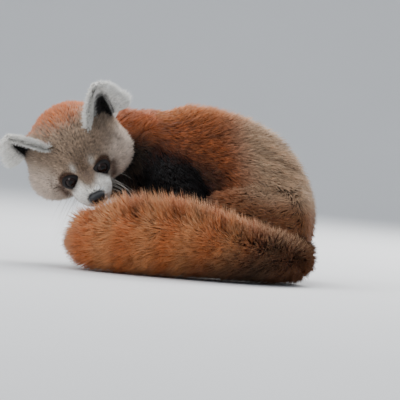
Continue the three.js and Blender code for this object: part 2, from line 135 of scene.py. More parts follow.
# Ellipsoids of the head in its own frame (x to its right, y forward, z up): centre and half sizes.
SKULL = [
    ([0, -56, 9], [54, 54, 54]),
    ([30, -38, -10], [33, 33, 29]),
    ([-30, -38, -10], [33, 33, 29]),
    ([0, 1, -16], [24, 28, 19]),
    ([0, 20, -14], [15.5, 15, 12.5]),
    ([0, 2, -29], [16, 20, 10]),
    ([14, -16, 7], [14, 14, 11]),
    ([-14, -16, 7], [14, 14, 11]),
]
SKULL_BLEND = 4.0
SKULL_MIDDLE = (0.0, -34.0, -8.0)
EYE_APART, EYE_BACK, EYE_RADIUS = 39.0, 1.0, 8.6
NOSE_FORWARD, NOSE_LOW = 34.0, 13.5
MOUTH = [(0, -9), (0, -15), (8, -18.5), (17, -20.5), (28, -22), (36, -21)]
EARS = {
    1: {"root": [43, -52, 25], "tip": [70, -46, 69], "outward": 40},
    -1: {"root": [-44, -52, 26], "tip": [-54, -46, 86], "outward": 30},
}
EAR_WIDE, EAR_CUP, EAR_SKIN = 34.0, 9.0, 0.9
GAZE_TURN, GAZE_RISE = 14.0, 24.0  # degrees outward and up, at someone in front
NOSE_HALF = (9.6, 7.2, 6.9)
NOSE_SQUARE = 2.5  # the power that squares the nose pad's corners
# The lid's section round the eye: distance from the line of gaze, then distance along it.
LID = [
    [6.4, 5.6],
    [6.3, 6.1],
    [6.8, 6.5],
    [7.7, 6.2],
    [9.0, 4.9],
    [11.0, 1.5],
    [12.0, -4.0],
    [9.5, -5.0],
    [7.2, 2.5],
]

# Flesh that fills the creases between forms: middles and half sizes of ellipsoids.
PADDING = [
    ((-76, 2, 148), (36, 50, 47)),
    ((95, -22, 74), (32, 36, 44)),
    ((95, 62, 74), (32, 36, 44)),
]
RELAX_ROUNDS = 130
FLOW_ROUNDS = 30
VOXEL = 0.0022  # metres, the grain at which the forms melt into one skin
UNDERCOAT_SHADE = 0.6  # the skin's colour as a share of the hair's
EAR_INSET = 4.0  # how far an ear's skin lies inside the tips of its fur
EAR_TUFTS = 15000
CLAW_LENGTH, CLAW_DROOP, CLAW_RADIUS = 11.5, 5.2, 1.75
PATCH = 0.003  # a tuft's patch of the coat's map

RNG_SEED = 4117
COAT_PIECE = 32500  # tufts in one piece, which keeps it under its share of triangles

# Tufts for each square millimetre, and their lengths in millimetres, for each form.
DENSITY = {"trunk": 0.72, "neck": 0.6, "tail": 1.5, "thigh": 0.72, "foreleg": 0.42, "paw": 0.56, "head": 1.25}
LENGTHS = {"trunk": 14, "neck": 14, "tail": 13, "thigh": 12, "foreleg": 11, "paw": 5, "head": 9}
SLOTS = {"tail": "coat_tail", "head": "coat_face", "foreleg": "coat_dark", "paw": "coat_dark"}

# Where the coat's roots lie, as a share of each form's section.
LEVELS = {"trunk": 0.74, "neck": 0.76, "tail": 0.5, "thigh": 0.78, "foreleg": 0.82, "paw": 0.88}

# The camera's distance and the width it takes in, in metres, its tilts in degrees and what it looks at.
CAMERA_AWAY, CAMERA_WIDTH = 3.0, 0.498
CAMERA_ROLL, CAMERA_LIFT = 5.05, 1.5
CAMERA_TARGET = (-8.1, 0.0, 92.0)
# Each light's name, place and size in metres, and power in watts.
LIGHTS = [
    ("overhead", (-0.5, 0.4, 2.0), 1.8, 38),
    ("window", (-1.9, -1.3, 1.5), 1.5, 30),
    ("behind", (1.0, 1.6, 1.5), 1.0, 55),
]


# Sizes and colours


def linear(text):
    """The linear colour of an sRGB hex value."""
    values = np.array([int(text[i : i + 2], 16) for i in (1, 3, 5)]) / 255
    low = values / 12.92
    high = ((values + 0.055) / 1.055) ** 2.4
    return tuple(np.where(values <= 0.04045, low, high))


def colour_setting(name, text, description):
    """A colour that a user can change, from an sRGB hex value."""
    return bpy.props.FloatVectorProperty(
        name=name, description=description, subtype="COLOR", size=3, min=0, max=1, default=linear(text)
    )


class PandaCoat(bpy.types.PropertyGroup):
    """Colours of the coat, by the place on the animal."""

    rust: colour_setting("Shoulder", "#a8592c", "Orange-rust hair of the shoulders and upper back")
    flank: colour_setting("Flank", "#5c2c18", "Dark reddish hair low on the flanks")
    saddle: colour_setting("Saddle", "#c8aa8c", "Pale greyish hair over the loins")
    haunch: colour_setting("Haunch", "#6e4628", "Ticked brown hair of the haunches")
    dark: colour_setting("Underside", "#100c0c", "Black-brown hair of the chest, belly and legs")
    tail: colour_setting("Tail", "#b5602a", "Orange hair of the tail")
    ring: colour_setting("Tail rings", "#c98f5c", "Paler rings of the tail")
    tail_root: colour_setting("Tail root", "#6b3a1c", "Brown hair of the tail near the body")
    # Painted shade: a near-black that stands for the shade on the lower side of the tail's end.
    tail_shade: colour_setting("Tail painted shade", "#24120b", "Painted shade under the end of the tail")
    # Painted light: a brighter orange along the top of the back, where the light falls on it.
    ridge: colour_setting("Back", "#cb7d3a", "Brighter orange painted light along the top of the back")
    mask: colour_setting("Face", "#9a8470", "Greyish tan hair of the face")
    white: colour_setting("White", "#f6f3ec", "White hair of the muzzle, the cheeks and the ears")
    cheek: colour_setting("Cheek", "#cdbbac", "Pale pinkish grey hair of the cheeks")
    patch: colour_setting("Eye patch", "#472a1c", "Dark rust patch round and below each eye")
    crown: colour_setting("Crown", "#b0560e", "Orange hair between and behind the ears")
    cup: colour_setting("Ear cup", "#1d1814", "Dark hair inside the ears")
    length: bpy.props.FloatProperty(
        name="Length", description="Length of the hair as a share of its own", default=1, min=0.5, max=1.3,
        subtype="FACTOR",
    )
    width: bpy.props.FloatProperty(
        name="Tuft width", description="Width of a tuft", default=0.0016, min=0.0005, max=0.004,
        unit="LENGTH", subtype="DISTANCE", precision=4,
    )


class PandaFace(bpy.types.PropertyGroup):
    """Bare parts of the face and the feet."""

    iris: colour_setting("Iris", "#1c0e0a", "Dark brown iris")
    leather: colour_setting("Nose", "#17181d", "Bare skin of the nose and the lips")
    lid: colour_setting("Lids", "#0e0808", "Bare rim of the lids")
    claw: colour_setting("Claws", "#b9a98e", "Horn of the claws")
    whisker: bpy.props.FloatProperty(
        name="Whisker width", description="Width of a whisker at its root", default=0.0004, min=0.0002,
        max=0.001, unit="LENGTH", subtype="DISTANCE", precision=4,
    )


# Curves and forms


def unit(vectors):
    """Vectors at a length of one."""
    return vectors / np.maximum(np.linalg.norm(vectors, axis=-1, keepdims=True), 1e-9)


def smooth(values, low, high):
    """0 below low and 1 above high, with an easy slope between them: 3t^2 - 2t^3."""
    t = np.clip((values - low) / (high - low), 0, 1)
    return t * t * (3 - 2 * t)


def mix(first, second, share):
    """The first where share is 0 and the second where it is 1."""
    return first + (np.asarray(second) - first) * share[..., None]


def plain(colour, shape):
    """One colour at each point of a shape."""
    return np.tile(np.array(colour), (*np.atleast_1d(shape), 1))


def painted(colours, layers):
    """Colours with others laid over them in turn, each by its share at each point."""
    for colour, share in layers:
        colours = mix(colours, colour, share)
    return colours


def hump(values, middle, width):
    """1 at the middle, and falling to both sides as exp(-((value - middle) / width)^2)."""
    return np.exp(-(((values - middle) / width) ** 2))


def round_grid(values, columns):
    """Grids of the values by rows, and of an angle that goes once round by columns."""
    return np.meshgrid(values, np.linspace(0, 2 * math.pi, columns, endpoint=False), indexing="ij")


def ripple(points, size, turn=0.0):
    """Soft noise from -1 to 1: products of sines of three slanted directions, size apart."""
    k = 2 * math.pi / size
    slants = np.array([[0.82, 0.31, 0.48], [-0.37, 0.88, 0.29], [0.21, -0.45, 0.87]])
    waves = np.sin(points @ slants.T * k + turn + np.array([0.3, 1.7, 4.1]))
    bent = np.sin(points @ slants[::-1].T * k * 1.7 + 2 * waves + turn)
    return (waves * bent).sum(-1) / 1.8


def through(stations, t, slope=False):
    """The smooth curve through rows of numbers at shares t of their count.

    Between two rows it is the cubic whose slope at a row is half the step from the row before it to
    the row after it. Beyond the ends the last step is repeated.
    """
    rows = np.asarray(stations, float)
    rows = np.vstack([2 * rows[0] - rows[1], rows, 2 * rows[-1] - rows[-2]])
    x = np.clip(t, 0, 1) * (len(stations) - 1)
    i = np.minimum(x.astype(int), len(stations) - 2)
    w = (x - i)[..., None]
    a, b, c, d = rows[i], rows[i + 1], rows[i + 2], rows[i + 3]
    m, n = (c - a) / 2, (d - b) / 2
    if slope:
        return (6 * w**2 - 6 * w) * (b - c) + (3 * w**2 - 4 * w + 1) * m + (3 * w**2 - 2 * w) * n
    early, late = 2 * w**3 - 3 * w**2 + 1, 3 * w**2 - 2 * w**3
    return early * b + (w**3 - 2 * w**2 + w) * m + late * c + (w**3 - w**2) * n


class Form:
    """A form of changing oval section along a smooth path, with rounded ends."""

    def __init__(self, stations, reference):
        self.stations = np.asarray(stations, float)
        self.reference = np.asarray(reference, float)
        self.steps = np.linspace(0, 1, 241)
        points = through(self.stations[:, :3], self.steps)
        runs = np.linalg.norm(np.diff(points, axis=0), axis=1)
        self.reach = np.concatenate([[0], np.cumsum(runs)])
        self.length = self.reach[-1]
        self.ends = self.stations[[0, -1], 3]

    def at(self, u, q, level=1.0):
        """The point at a share u of the length and an angle q round the section.

        The centre follows the path. Each half size is its station's times the level, and near an end it
        shrinks as the square root of 1 - x^2, where x is the share of the end's radius still to go.
        """
        share = np.clip(u, 0, 1)
        t = np.interp(share * self.length, self.reach, self.steps)
        centre = through(self.stations[:, :3], t)
        half = through(self.stations[:, 3:], t)
        along = unit(through(self.stations[:, :3], t, slope=True))
        first = unit(self.reference - along * (along @ self.reference)[..., None])
        second = np.cross(along, first)
        x0 = np.maximum(0, 1 - share * self.length / self.ends[0])
        x1 = np.maximum(0, 1 - (1 - share) * self.length / self.ends[1])
        full = np.sqrt(1 - x0**2) * np.sqrt(1 - x1**2)
        towards = np.where(x0 > 0, -self.ends[0], np.where(x1 > 0, self.ends[1], 0.0))
        across = np.where(np.sin(q) > 0, half[..., 1], half[..., 2])
        centre = centre + along * (np.sqrt(1 - full**2) * (level - 1) * towards)[..., None]
        centre = centre + first * (half[..., 0] * level * full * np.cos(q))[..., None]
        return centre + second * (across * level * full * np.sin(q))[..., None]


def leg(stations, side):
    """A leg's form on one side of the middle plane."""
    rows = [[x, MIDDLE_Y + side * out, z, *half] for x, out, z, *half in stations]
    return Form(rows, SIDEWAYS)


def looking_to(turn, rise):
    """A direction in the head's frame: turned from straight ahead to its right side, then raised."""
    a, b = np.radians(turn), np.radians(rise)
    return np.stack([np.sin(a) * np.cos(b), np.cos(a) * np.cos(b), np.sin(b)], -1)


def outside_head(points):
    """How far points lie outside the blended ellipsoids of the head.

    Each ellipsoid's distance is |p - c| (1 - 1 / |(p - c) / half|), and they melt as
    -k ln(sum of exp(-distance / k)).
    """
    total = np.zeros(points.shape[:-1])
    for centre, half in SKULL:
        offset = points - np.array(centre, float)
        far = np.linalg.norm(offset, axis=-1)
        scaled = np.maximum(np.linalg.norm(offset / np.array(half, float), axis=-1), 1e-6)
        total += np.exp((far / scaled - far) / SKULL_BLEND)
    return -SKULL_BLEND * np.log(total)


def head_point(directions, depth=0.0):
    """The head's surface in directions from its middle, found by halving, then sunk by depth."""
    middle = np.array(SKULL_MIDDLE)
    near, far = np.zeros(directions.shape[:-1]), np.full(directions.shape[:-1], 140.0)
    for _ in range(26):
        half = (near + far) / 2
        within = outside_head(middle + directions * half[..., None]) < 0
        near, far = np.where(within, half, near), np.where(within, far, half)
    return middle + directions * (near - depth)[..., None]


def head_axes():
    """Columns: the head's right side, forward and up, after its roll, pitch and yaw."""
    roll, pitch, yaw = np.radians([HEAD_ROLL, HEAD_PITCH, HEAD_YAW])
    left = np.array([math.cos(roll), 0, math.sin(roll)])
    upright = np.array([-math.sin(roll), 0, math.cos(roll)])
    front = np.array([0, -1.0, 0])
    ahead = front * math.cos(pitch) - upright * math.sin(pitch)
    up = upright * math.cos(pitch) + front * math.sin(pitch)
    turned = ahead * math.cos(yaw) + left * math.sin(yaw)
    return np.stack([np.cross(turned, up), turned, up], 1)


HEAD_AXES = head_axes()


def from_head(points):
    """Points of the head's frame in the animal's frame."""
    return points @ HEAD_AXES.T + np.array(EYE_PLACE)


def to_head(points):
    """Points of the animal's frame in the head's frame."""
    return (points - np.array(EYE_PLACE)) @ HEAD_AXES


def eye_place(side):
    """The middle of an eye in the head's frame."""
    return np.array([side * EYE_APART / 2, -EYE_BACK, 0.0])


def eye_gaze(side):
    """Where an eye looks, in the head's frame."""
    return looking_to(side * GAZE_TURN, GAZE_RISE)


def frame_shift():
    """Where the animal's own origin lies in the frame, in metres, from the eyes' boxes."""
    middles = [(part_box(name)[0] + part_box(name)[1]) / 2 for name in ("eye_left", "eye_right")]
    middle = np.array((middles[0] + middles[1]) / 2)
    return middle - from_head(np.array([0.0, -EYE_BACK, 0.0])) / 1000


SHIFT = frame_shift()


def in_frame(points):
    """Points of the animal's frame, in millimetres, as metres of the shared frame."""
    return points / 1000 + SHIFT


# Meshes and materials


def mesh_object(name, points, faces):
    """An object from points in millimetres, none below the floor, and a list of equal-sided face arrays."""
    placed = in_frame(points)
    placed[:, 2] = np.maximum(placed[:, 2], 0.0)
    loops = np.concatenate([f.ravel() for f in faces]).astype(np.int32)
    sizes = np.concatenate([np.full(len(f), f.shape[1]) for f in faces])
    mesh = bpy.data.meshes.new(name)
    mesh.vertices.add(len(placed))
    mesh.vertices.foreach_set("co", placed.astype(np.float32).ravel())
    mesh.loops.add(len(loops))
    mesh.loops.foreach_set("vertex_index", loops)
    mesh.polygons.add(len(sizes))
    mesh.polygons.foreach_set("loop_start", np.concatenate([[0], np.cumsum(sizes)[:-1]]).astype(np.int32))
    mesh.polygons.foreach_set("use_smooth", np.ones(len(sizes), bool))
    mesh.update(calc_edges=True)
    mesh.validate()
    made = bpy.data.objects.new(name, mesh)
    bpy.context.scene.collection.objects.link(made)
    return made


def grid_faces(rows, columns):
    """Faces of a grid of points that closes round its columns, wound outwards."""
    i, j = np.meshgrid(np.arange(rows - 1), np.arange(columns), indexing="ij")
    k = (j + 1) % columns
    a, b = i * columns + j, i * columns + k
    return np.stack([a, b, b + columns, a + columns], -1).reshape(-1, 4)


def closed_grid(points):
    """Points and faces of a tube, rows by columns, whose ends close on their middle points."""
    rows, columns = points.shape[:2]
    caps = np.stack([points[0].mean(0), points[-1].mean(0)])
    flat = np.concatenate([points.reshape(-1, 3), caps])
    j = np.arange(columns)
    k = (j + 1) % columns
    low = np.stack([k, j, np.full(columns, rows * columns)], -1)
    last = (rows - 1) * columns
    high = np.stack([last + j, last + k, np.full(columns, rows * columns + 1)], -1)
    return flat, [grid_faces(rows, columns), low, high]


def joined(parts):
    """Several sets of points and faces as one."""
    points, faces, start = [], [], 0
    for own, lists in parts:
        points.append(own)
        faces.extend(f + start for f in lists)
        start += len(own)
    return np.concatenate(points), faces


def tube(centres, radii, columns=8, squash=1.0):
    """A tube: a circle of changing radius carried along a path. squash flattens it along its normal."""
    along = unit(np.gradient(centres, axis=0))
    first = unit(np.cross(along, [0.31, 0.87, 0.38]))
    second = np.cross(along, first)
    q = np.linspace(0, 2 * math.pi, columns, endpoint=False)
    ring = np.cos(q)[:, None] * first[:, None] + np.sin(q)[:, None] * second[:, None] * squash
    return closed_grid(centres[:, None] + ring * np.asarray(radii)[:, None, None])


def add_node(tree, kind, links=(), **settings):
    """Adds a node, sets its properties and inputs, and links outputs to its inputs."""
    made = tree.nodes.new(kind)
    for key, value in settings.items():
        if hasattr(made, key):
            setattr(made, key, value)
        else:
            made.inputs[key.replace("_", " ")].default_value = value
    for source, name in links:
        tree.links.new(source, made.inputs[name])
    return made


def new_material(name):
    """An empty node material and its tree."""
    material = bpy.data.materials.new(name)
    material.use_nodes = True
    material.node_tree.nodes.clear()
    return material, material.node_tree


def pattern(tree, kind, **settings):
    """A texture on a piece's own place. A scale of 1000 repeats about every millimetre."""
    place = add_node(tree, "ShaderNodeTexCoord")
    return add_node(tree, kind, links=[(place.outputs["Object"], "Vector")], **settings)


def shaded(tree, source, low, high, paint=(), **colour):
    """A paint or a colour, low to high times as bright as a texture's output goes from 0 to 1."""
    shade = add_node(tree, "ShaderNodeMapRange", links=[(source, "Value")], To_Min=low, To_Max=high)
    links = [(output, "Color") for output in paint] + [(shade.outputs[0], "Value")]
    return add_node(tree, "ShaderNodeHueSaturation", links=links, **colour)


def finish_material(tree, tone, bumps=(), **settings):
    """Joins a shader with a colour, a bump if there is one and its settings to the material's output."""
    links = [(tone.outputs[0], "Base Color")] + [(bump.outputs[0], "Normal") for bump in bumps]
    shader = add_node(tree, "ShaderNodeBsdfPrincipled", links=links, **settings)
    add_node(tree, "ShaderNodeOutputMaterial", links=[(shader.outputs[0], "Surface")])


def paint_points(thing, name, colours):
    """Stores a colour for each point."""
    layer = thing.data.color_attributes.new(name, "FLOAT_COLOR", "POINT")
    rgba = np.concatenate([np.clip(colours, 0, 1), np.ones((len(colours), 1))], 1)
    layer.data.foreach_set("color", rgba.astype(np.float32).ravel())


def hair_material():
    """Guard hair over dense wool: matt, with a faint sheen where the light grazes it.

    The colour comes from the tufts' own paint. Noise at about 2 mm, the width of a few hairs, breaks it.
    """
    material, tree = new_material("guard_hair")
    paint = add_node(tree, "ShaderNodeAttribute", attribute_name="Coat")
    strands = pattern(tree, "ShaderNodeTexNoise", Scale=480, Detail=2)
    tone = shaded(tree, strands.outputs["Fac"], 0.72, 1.28, [paint.outputs["Color"]])
    look = {"Roughness": 0.62, "Sheen_Weight": 0.1, "Sheen_Roughness": 0.5, "Specular_IOR_Level": 0.25}
    finish_material(tree, tone, **look)
    return material


def undercoat_material():
    """Short dense wool on the skin: the same markings, darker, with a felted bump at about 1.5 mm and painted
    shade in the felt's hollows.
    """
    material, tree = new_material("undercoat_wool")
    paint = add_node(tree, "ShaderNodeAttribute", attribute_name="Coat")
    felt = pattern(tree, "ShaderNodeTexNoise", Scale=700, Detail=4)
    links = [(felt.outputs["Fac"], "Height")]
    bump = add_node(tree, "ShaderNodeBump", links=links, Strength=0.6, Distance=0.0012)
    # Painted shade: the colour darkens where the felt's bump sinks.
    tone = shaded(tree, felt.outputs["Fac"], 0.35, 1.0, [paint.outputs["Color"]])
    finish_material(tree, tone, [bump], Roughness=0.85, Sheen_Weight=0.2, Specular_IOR_Level=0.2)
    return material


def leather_material(name, colour, roughness, scale, depth, wet):
    """Bare moist skin: small rounded grains under a thin wet film, with painted shade in the creases between
    the grains and painted light on them.
    """
    material, tree = new_material(name)
    grains = pattern(tree, "ShaderNodeTexVoronoi", Scale=scale, feature="F1")
    links = [(grains.outputs["Distance"], "Height")]
    bump = add_node(tree, "ShaderNodeBump", links=links, invert=True, Strength=0.5, Distance=depth)
    # Painted shade: the colour darkens towards the creases between the grains and lightens on the grains.
    tone = shaded(tree, grains.outputs["Distance"], 1.25, 0.6, Color=(*colour, 1))
    look = {"Roughness": roughness, "Specular_IOR_Level": 0.3, "Coat_Weight": wet, "Coat_Roughness": 0.25}
    finish_material(tree, tone, [bump], **look)
    return material


def eye_material(iris):
    """A wet eye: black pupil, dark brown iris with fine rays and a dark rim, under a clear cornea."""
    material, tree = new_material("wet_cornea")
    gaze = add_node(tree, "ShaderNodeAttribute", attribute_name="Gaze")
    rays = pattern(tree, "ShaderNodeTexNoise", Scale=900, Detail=3)
    rings = add_node(tree, "ShaderNodeValToRGB", links=[(gaze.outputs["Fac"], "Fac")])
    ramp = rings.color_ramp
    ramp.elements[0].position, ramp.elements[0].color = 0.2, (0.001, 0.001, 0.001, 1)
    ramp.elements[1].position, ramp.elements[1].color = 0.3, (*iris, 1)
    ramp.elements.new(0.62).color = (iris[0] * 0.8, iris[1] * 0.8, iris[2] * 0.8, 1)
    ramp.elements.new(0.74).color = (0.004, 0.003, 0.003, 1)
    tone = shaded(tree, rays.outputs["Fac"], 0.6, 1.5, [rings.outputs["Color"]])
    finish_material(tree, tone, Roughness=0.05, Specular_IOR_Level=0.3, IOR=1.38)
    return material


def horn_material(name, colour, roughness):
    """Horn or a stiff hair: smooth keratin with faint streaks at about 3 mm."""
    material, tree = new_material(name)
    streaks = pattern(tree, "ShaderNodeTexNoise", Scale=350, Detail=2)
    tone = shaded(tree, streaks.outputs["Fac"], 0.7, 1.25, Color=(*colour, 1))
    finish_material(tree, tone, Roughness=roughness, Specular_IOR_Level=0.4)
    return material


# Samples of the forms, which say how the coat lies


def sampled(name, at, us, columns, chart, way):
    """Points of a surface at the roots, with the lie and the depth of the coat there.

    at(u, q, tips) gives a point of the roots' surface, or of the tips' where tips is true. The lie is the
    slope along u times the way, 1 or -1, and the depth is the distance from the root to the tips' surface
    at the same place. chart gives the corner and the sides of the form's own part of the coat's map.
    """
    u, q = round_grid(us, columns)
    root, top = at(u, q, False), at(u, q, True)
    ahead = at(np.minimum(u + 0.004, 1), q, False) - at(np.maximum(u - 0.004, 0), q, False)
    lie = unit(ahead) * way
    depth = np.linalg.norm(top - root, axis=-1)
    place = np.stack([chart[0] + chart[2] * u, chart[1] + chart[3] * (q % (2 * math.pi)) / (2 * math.pi)], -1)
    count = u.size
    return {
        "name": np.full(count, name),
        "point": root.reshape(-1, 3),
        "lie": lie.reshape(-1, 3),
        "depth": depth.ravel(),
        "u": u.ravel(),
        "q": q.ravel(),
        "uv": place.reshape(-1, 2),
    }


def head_depth(directions):
    """How deep the coat is on the head: short on the muzzle, the brow and round the eyes, deep behind."""
    open_angle = np.degrees(np.arccos(np.clip(directions[..., 1], -1, 1)))
    low = smooth(-directions[..., 2], 0.2, 0.75) * smooth(np.abs(directions[..., 0]), 0.2, 0.5)
    return 2.2 + 6.5 * smooth(open_angle, 32, 85) + 3.0 * low * smooth(open_angle, 45, 80)


def head_at(u, q, tips):
    """The head's surface: u runs from the nose to the back of the head and q goes round that line."""
    angle = math.pi * u
    way = np.stack([np.sin(angle) * np.cos(q), np.cos(angle), np.sin(angle) * np.sin(q)], -1)
    depth = 0.0 if tips else head_depth(way)
    return from_head(head_point(way, depth))


BODY_FORMS = {
    "trunk": (Form(TRUNK, SIDEWAYS), LEVELS["trunk"], 1),
    "neck": (Form(NECK, UPWARD), LEVELS["neck"], -1),
    "tail": (Form(TAIL, UPWARD), LEVELS["tail"], 1),
    "thigh_left": (leg(THIGH, -1), LEVELS["thigh"], 1),
    "thigh_right": (leg(THIGH, 1), LEVELS["thigh"], 1),
    "foreleg_left": (leg(FORELEG, -1), LEVELS["foreleg"], 1),
    "foreleg_right": (leg(FORELEG, 1), LEVELS["foreleg"], 1),
    "forepaw_left": (leg(FOREPAW, -1), LEVELS["paw"], 1),
    "forepaw_right": (leg(FOREPAW, 1), LEVELS["paw"], 1),
    "hindpaw_left": (leg(HINDPAW, -1), LEVELS["paw"], 1),
    "hindpaw_right": (leg(HINDPAW, 1), LEVELS["paw"], 1),
}


def all_samples():
    """The samples of every form, joined, each form with its own square of the coat's map."""
    made = []
    for i, (name, (form, level, lie)) in enumerate(BODY_FORMS.items()):
        chart = (0.01 + 0.25 * (i % 4), 0.01 + 0.25 * (i // 4), 0.23, 0.23)
        rows = int(np.clip(form.length / 5, 12, 90))
        columns = int(np.clip(form.stations[:, 3].max() * 0.9, 14, 64))

        def at(u, q, tips, form=form, level=level):
            return form.at(u, q, 1.0 if tips else level)

        made.append(sampled(name, at, np.linspace(0.004, 0.996, rows), columns, chart, lie))
    made.append(sampled("head", head_at, np.linspace(0.01, 0.99, 60), 72, (0.01, 0.76, 0.48, 0.23), 1))
    return {key: np.concatenate([m[key] for m in made]) for key in made[0]}


def nearest(points):
    """The index of the nearest sample to each point, worked out in blocks."""
    targets = SAMPLES["point"].astype(np.float32)
    norms = (targets**2).sum(1)
    found = []
    for block in np.array_split(points.astype(np.float32), max(1, len(points) // 4000)):
        found.append(np.argmin(norms - 2 * block @ targets.T, axis=1))
    return np.concatenate(found)


# Markings, which the skin and the coat share


def head_marks(points, coat):
    """The face's colours: places are in the head's frame, x to its right, y forward and z up."""
    x, y, z = to_head(points).T
    side = np.abs(x)
    tick = ripple(points, 5.5, 1.1)
    made = plain(coat.mask, len(points)) * (0.97 + 0.15 * ripple(points, 17))[:, None]
    made = made * (1 + tick * (0.12 + 0.24 * smooth(z, -6, 12)))[:, None]
    brow = hump(side, 11, 3.2) * hump(z, 12, 5.0) * smooth(y, -30, -10)
    cheek = hump(side, 42, 16) * hump(z, -8, 20) * smooth(y, -56, -36)
    muzzle = smooth(y + 0.25 * z, -2, 12) * smooth(-z + 0.25 * side, 0, 7)
    bridge = hump(x, 0, 6.5) * smooth(y, -20, 2) * smooth(z, -6, 3) * smooth(-z, -28, -16)
    ring = smooth(-np.hypot(side - EYE_APART / 2 - 0.5, z), -12.0, -9.0) * smooth(side + 0.9 * z, 8, 16)
    track = hump(side - 0.35 * z, 34, 4.8) * smooth(-z, 0, 5) * smooth(z, -27, -18)
    layers = [
        (coat.crown, smooth(z + 0.25 * (-y - 40) + 6 * tick, 40, 60)),
        (coat.crown, 0.9 * smooth(-y, 50, 66) * smooth(z, -20, 5)),
        (coat.dark, smooth(-y - 0.5 * z, 52, 70) * smooth(-z, 0, 22)),
        (coat.crown, 0.7 * smooth(side, 40, 58) * smooth(-z, -8, 18) * smooth(-y, 30, 45)),
        (coat.white, 0.6 * brow),
        (coat.cheek, 0.9 * np.clip(cheek * 1.5, 0, 1)),
        (coat.white, muzzle),
        (coat.white, 0.8 * smooth(-z, 22, 30) * smooth(y, -30, -8)),
        (coat.patch, 0.55 * bridge),
        (coat.patch, ring * smooth(y, -28, -16)),
        (coat.patch, 0.85 * track * smooth(y, -34, -20)),
    ]
    return painted(made, layers)


def fold_wave(points):
    """Folds of loose skin over the loins, from -1 in a furrow to 1 on a ridge, and 0 elsewhere."""
    x, _, z = points.T
    where = hump(x, 78, 34) * hump(z + 0.42 * x, 176, 24)
    return where * np.sin(2 * math.pi * (z + 0.42 * x + 2 * ripple(points, 60)) / 15)


def body_marks(points, coat):
    """The colours of the trunk and the legs: rust, a pale saddle, brown haunches and black below, with
    painted light along the top of the back, painted shade and light on the loins' folds, and painted shade
    low at the rear of the haunches.
    """
    x, _, z = points.T
    saddle = smooth(x + 0.45 * (z - 150), 2, 52) * smooth(z, 78, 108)
    haunch = smooth(x, -20, 30) * smooth(-z, -118, -84)
    chest = smooth(-(z + 0.45 * x), -138, -112) * smooth(-x, -20, 6)
    mottle = smooth(ripple(points, 13, 0.4) + 0.012 * (185 - z), 0.1, 0.9) * smooth(-x, -30, 0)
    layers = [
        (coat.saddle, 0.92 * saddle),
        (coat.haunch, haunch * (0.8 + 0.2 * ripple(points, 23))),
        (coat.flank, smooth(-(z + 0.35 * x), -150, -118) * smooth(-x, -36, -6)),
        (coat.dark, np.clip(1.15 * chest, 0, 1)),
        (coat.dark, smooth(-z, -52, -30) * smooth(-x, -84, -60)),
        (coat.flank, 0.6 * mottle),
        # Painted light: the top of the back is brighter where the light falls on it.
        (coat.ridge, 0.85 * smooth(z, 172, 200) * smooth(-x, -90, -20)),
    ]
    body = painted(plain(coat.rust, len(points)), layers)
    body = body * (1 + 0.3 * ripple(points, 6.0, 0.9) * np.maximum(saddle, haunch))[:, None]
    # Painted shade in the furrows of the loins' folds and painted light on their ridges.
    body = body * (1 + 0.22 * fold_wave(points))[:, None]
    # Painted shade: low at the rear, where the haunches meet the floor, the coat darkens to the flank's
    # colour.
    return painted(body, [(coat.flank, 0.8 * smooth(-z, -62, -30) * smooth(x, 20, 70))])


def tail_marks(points, u, coat):
    """The tail's colours: orange with paler rings, brown near the body, and near-black painted shade on the
    lower side of its end.
    """
    x, _, z = points.T
    rings = 0.5 + 0.5 * np.cos(2 * math.pi * (u * 8.2 + 0.15))
    # Painted shade: the lower side of the tail darkens towards its end, where the shade lies.
    under = smooth(0.25 * (x + 87) + 6 - z, -20, 24) * smooth(-x, -125, -70)
    layers = [
        (coat.ring, 0.5 * rings * smooth(u, 0.2, 0.5)),
        (coat.tail_root, smooth(-u, -0.52, -0.22)),
        (coat.tail_shade, 0.92 * under),
    ]
    return painted(plain(coat.tail, len(points)), layers)


def marks(points, found, coat):
    """The coat's colour at each point, from its place and from the form of its nearest sample."""
    z = points[:, 2]
    kinds = family(SAMPLES["name"][found])
    body = body_marks(points, coat)
    colours = body.copy()
    for kind, own in (
        ("neck", painted(plain(coat.rust, len(points)), [(coat.dark, smooth(-z, -170, -146))])),
        ("tail", tail_marks(points, SAMPLES["u"][found], coat)),
        ("foreleg", painted(body, [(coat.dark, smooth(-z, -158, -128))])),
        ("paw", plain(coat.dark, len(points))),
        ("head", head_marks(points, coat)),
    ):
        colours[kinds == kind] = own[kinds == kind]
    return np.clip(colours * (1 + 0.16 * ripple(points, 23) + 0.12 * ripple(points, 7, 2.0))[:, None], 0, 1)


# The skin


def skin_surface(at, rows, columns):
    """A closed surface from at(u, q): rows round the form, closer near its ends, at (1 - cos(pi t)) / 2."""
    return closed_grid(at(*round_grid(0.5 - 0.5 * np.cos(np.linspace(0.02, 0.98, rows) * math.pi), columns)))


def toe_places(stations, side):
    """The middles of a paw's toes, in an arc ahead of its end."""
    across = np.linspace(-0.5, 0.5, TOE_COUNT)
    end = np.array([stations[-1][0], MIDDLE_Y + side * stations[-1][1], stations[-1][2]], float)
    reach = TOE_AHEAD - TOE_ARCH * across**2
    return end + np.stack([-reach, side * across * TOE_SPREAD, np.full(TOE_COUNT, -2.5)], -1)


def ball(middle, half, rows=14, columns=18):
    """An ellipsoid: the middle plus half sizes times the point of the unit ball at two angles."""
    a, q = round_grid(np.linspace(0.06, math.pi - 0.06, rows), columns)
    shell = np.stack([np.sin(a) * np.cos(q), np.sin(a) * np.sin(q), -np.cos(a)], -1)
    return closed_grid(np.array(middle) + shell * np.array(half))


def head_skin(u, q):
    """The head's surface at the roots of the coat, turned so that its faces point outwards."""
    return head_at(u, -q, False)


